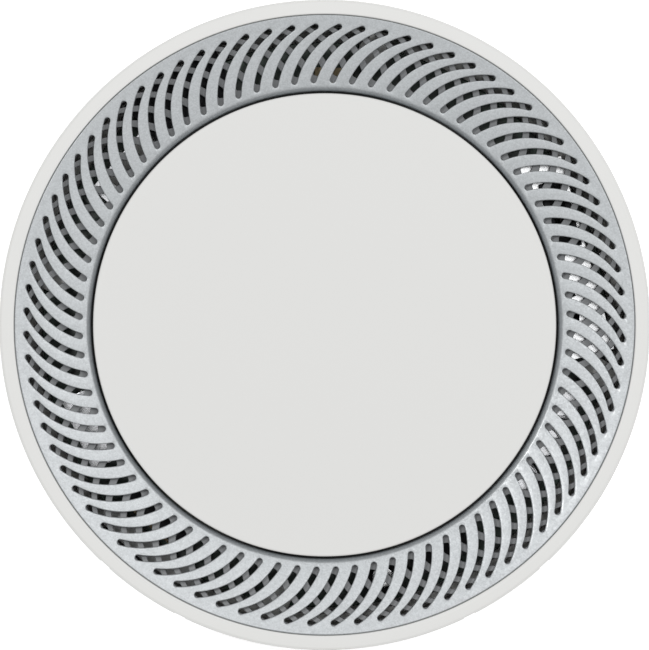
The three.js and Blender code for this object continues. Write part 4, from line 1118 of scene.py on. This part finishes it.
def moulded(name, colour, gloss, mottle=0.02, grain=2500.0, bump=(0.12, 2e-5), **fixed):
    """A moulded finish. Its bump is (strength, distance), and fixed holds the shader's other sockets."""
    values = {"Mottle": mottle, "Gloss": gloss, "Gloss Spread": MOULDED_SPREAD, "Grain Scale": grain}
    return finish_with(name, SKIN, colour, values, bump, fixed)


def metal(name, colour, gloss, streaks=0.15, cloud=0.08):
    values = {"Streaks": streaks, "Gloss": gloss, "Cloud": cloud}
    return finish_with(name, DRAWN, colour, values, METAL_BUMP, {"Metallic": 1.0})


FINISHES = {
    "shell_white": moulded("shell_white", (0.715, 0.715, 0.70), 0.45),
    "disc_white": moulded("disc_white", (0.70, 0.70, 0.686), 0.5),
    "silver_paint": finish_with(
        "silver_paint", FLAKE, (0.415, 0.435, 0.447),
        {"Flake": 0.2, "Flake Scale": 4000.0, "Gloss": 0.42, "Gloss Spread": 0.16}, (0.05, 5e-6),
        {"Metallic": 0.3, "Coat_Weight": 0.3, "Coat_Roughness": 0.15},
    ),
    "dark_grey": moulded("dark_grey", (0.27, 0.28, 0.29), 0.42, mottle=0.08),
    "black_plastic": moulded("black_plastic", (0.012, 0.012, 0.013), 0.5, mottle=0.1),
    "clear_guide": moulded("clear_guide", (0.74, 0.79, 0.82), 0.25, Coat_Weight=0.3, Coat_Roughness=0.1),
    # The board's green is darkened well below the solder mask's own green: painted shade, so the board reads
    # as dark as the shaded inside of the drum.
    "circuit_board": finish_with(
        "circuit_board", MASK, (0.006, 0.034, 0.018),
        {"Copper Tint": 0.7, "Gloss": 0.35, "Track Scale": 220.0}, (0.3, 4e-5), {"Coat_Weight": 0.3},
    ),
    "ribbon": moulded("ribbon", (0.68, 0.68, 0.65), 0.5, mottle=0.05),
    "white_plastic": moulded("white_plastic", (0.82, 0.82, 0.79), 0.45),
    "steel": metal("steel", (0.74, 0.75, 0.76), 0.16, streaks=0.08),
    "zinc_steel": metal("zinc_steel", (0.58, 0.59, 0.6), 0.38, cloud=0.3),
    "brass": metal("brass", (0.54, 0.36, 0.1), 0.3),
    # The gold is darkened well below bright gold: painted shade, so it shows only dimly through the slots.
    "gold": metal("gold", (0.5, 0.41, 0.26), 0.6),
    "aluminium": metal("aluminium", (0.74, 0.75, 0.77), 0.2, streaks=0.1),
    "ferrite": moulded("ferrite", (0.042, 0.042, 0.045), 0.7, mottle=0.3, bump=(0.4, 4e-5)),
    # The copper tape is darkened well below bright copper: painted shade, so it shows only dimly through the
    # slots.
    "copper_tape": moulded("copper_tape", (0.36, 0.22, 0.06), 0.35, mottle=0.15, Coat_Weight=0.4),
    # The foam's bubble factor sets how strongly the painted shade darkens the bubble bottoms.
    "foam": finish_with(
        "foam", FOAM, (0.03, 0.031, 0.034),
        {"Depth Tint": 0.9, "Cell Scale": 1600.0, "Gloss": 0.92}, (0.7, 2e-4), {},
    ),
    "rubber": moulded("rubber", (0.014, 0.014, 0.016), 0.75, mottle=0.15, bump=(0.3, 3e-5)),
    "label": moulded("label", (0.66, 0.66, 0.66), 0.5, mottle=0.03, grain=900.0),
}


def finish_frame_nodes(replaced):
    """Gives every CAD node that shows its finish, and rounds its edges slightly."""
    for entry in frame["record"]["subparts"]:
        node = frame["nodes"][entry["node"]]
        node.data.materials.clear()
        node.data.materials.append(FINISHES[entry["material_slot"]])
        if entry["node"] in replaced:
            continue
        joined = node.modifiers.new("join", "WELD")
        joined.merge_threshold = NODE_WELD
        rounded = node.modifiers.new("edges", "BEVEL")
        rounded.width = NODE_EDGE * MM
        rounded.segments = 2
        rounded.limit_method = "ANGLE"
        rounded.angle_limit = NODE_EDGE_ANGLE
        rounded.harden_normals = False
        even = node.modifiers.new("even normals", "WEIGHTED_NORMAL")
        even.keep_sharp = True


# ---------------------------------------------------------------- camera and lights
CAMERA_DISTANCE = 1.2
CAMERA_LENS = 321.7
CAMERA_SENSOR = 36.0
CAMERA_OFFSET = (-0.00003, -0.00003)
CAMERA_REACH = 20

# name, azimuth, elevation, distance, size, power
LIGHTS = (
    ("side", 34, 70, 1.6, 0.7, 5.9),
    ("top", 90, 68, 1.6, 0.9, 0.7),
    ("glint", 150, 74.8, 1.8, 0.12, 4.6),
    ("overhead", 0, 90, 2.0, 0.26, 0.42),
)
WORLD_STRENGTH = 0.627
FLOOR_GLOW = 0.45
FLOOR_RADIUS = 6
FLOOR_DROP = 2e-5  # keeps the floor just clear of the mount plate's back face


def add_camera():
    data = bpy.data.cameras.new("camera")
    data.sensor_width = CAMERA_SENSOR
    data.lens = CAMERA_LENS
    data.clip_end = CAMERA_REACH
    camera = bpy.data.objects.new("camera", data)
    camera.location = (*CAMERA_OFFSET, RIM_TOP * MM + CAMERA_DISTANCE)
    bpy.context.scene.collection.objects.link(camera)
    bpy.context.scene.camera = camera


def add_area_light(name, azimuth, elevation, distance, size, power):
    """A round light that points at the monitor. Azimuth is anticlockwise from +X, in degrees."""
    data = bpy.data.lights.new(name, "AREA")
    data.shape = "DISK"
    data.size = size
    data.energy = power
    light = bpy.data.objects.new(name, data)
    across, up = polar(1, elevation)
    toward = Vector((*polar(across, azimuth), up))
    light.location = toward * distance
    light.rotation_mode = "QUATERNION"
    light.rotation_quaternion = toward.to_track_quat("Z", "Y")
    bpy.context.scene.collection.objects.link(light)


def add_world(strength):
    world = bpy.data.worlds.new("studio")
    world.use_nodes = True
    backdrop = world.node_tree.nodes["Background"]
    backdrop.inputs["Color"].default_value = (1, 1, 1, 1)
    backdrop.inputs["Strength"].default_value = strength
    bpy.context.scene.world = world


def add_floor():
    bm = bmesh.new()
    bmesh.ops.create_circle(bm, cap_ends=True, segments=64, radius=FLOOR_RADIUS)
    floor = as_object("floor", shift(bm, (0, 0, -FLOOR_DROP)))
    material = bpy.data.materials.new("floor_paper")
    material.use_nodes = True
    shader = material.node_tree.nodes["Principled BSDF"]
    shader.inputs["Base Color"].default_value = (0.86, 0.86, 0.86, 1)
    shader.inputs["Roughness"].default_value = 0.8
    shader.inputs["Emission Color"].default_value = (1, 1, 1, 1)
    shader.inputs["Emission Strength"].default_value = FLOOR_GLOW
    floor.data.materials.append(material)


# ---------------------------------------------------------------- the scene
# name, maker, finish, the node it replaces, body
FINE_PIECES = (
    ("drum_shell", drum_bm, "shell_white", "housing_shell", "drum"),
    ("grille", grille_bm, "silver_paint", "grille_ring", "drum"),
    ("baffle", baffle_bm, "dark_grey", "baffle_ring", "drum"),
    ("face_disc", disc_bm, "disc_white", "front_disc", "drum"),
    ("back_moulding", rear_cover_bm, "shell_white", "rear_cover", "drum"),
    ("wall_ring", mount_plate_bm, "zinc_steel", "mount_plate", "wall_plate"),
    ("well_seal", cable_seal_bm, "foam", "cable_seal", "drum"),
    ("clamp_screw", lock_screw_bm, "steel", "lock_screw", "lock"),
)

add_camera()
for piece_name, make, finish, node_name, body_name in FINE_PIECES:
    piece_from(piece_name, make(), finish, [node_name], body_name)
add_screws()
for can in CAPACITORS:
    piece_from(can + "_can", capacitor_bm(can), "aluminium", [can])
finish_frame_nodes([row[3] for row in FINE_PIECES] + COVER_SCREWS + BOARD_SCREWS + CAPACITORS)
add_floor()
add_world(WORLD_STRENGTH)
for light in LIGHTS:
    add_area_light(*light)
bpy.context.scene.view_settings.view_transform = "Standard"
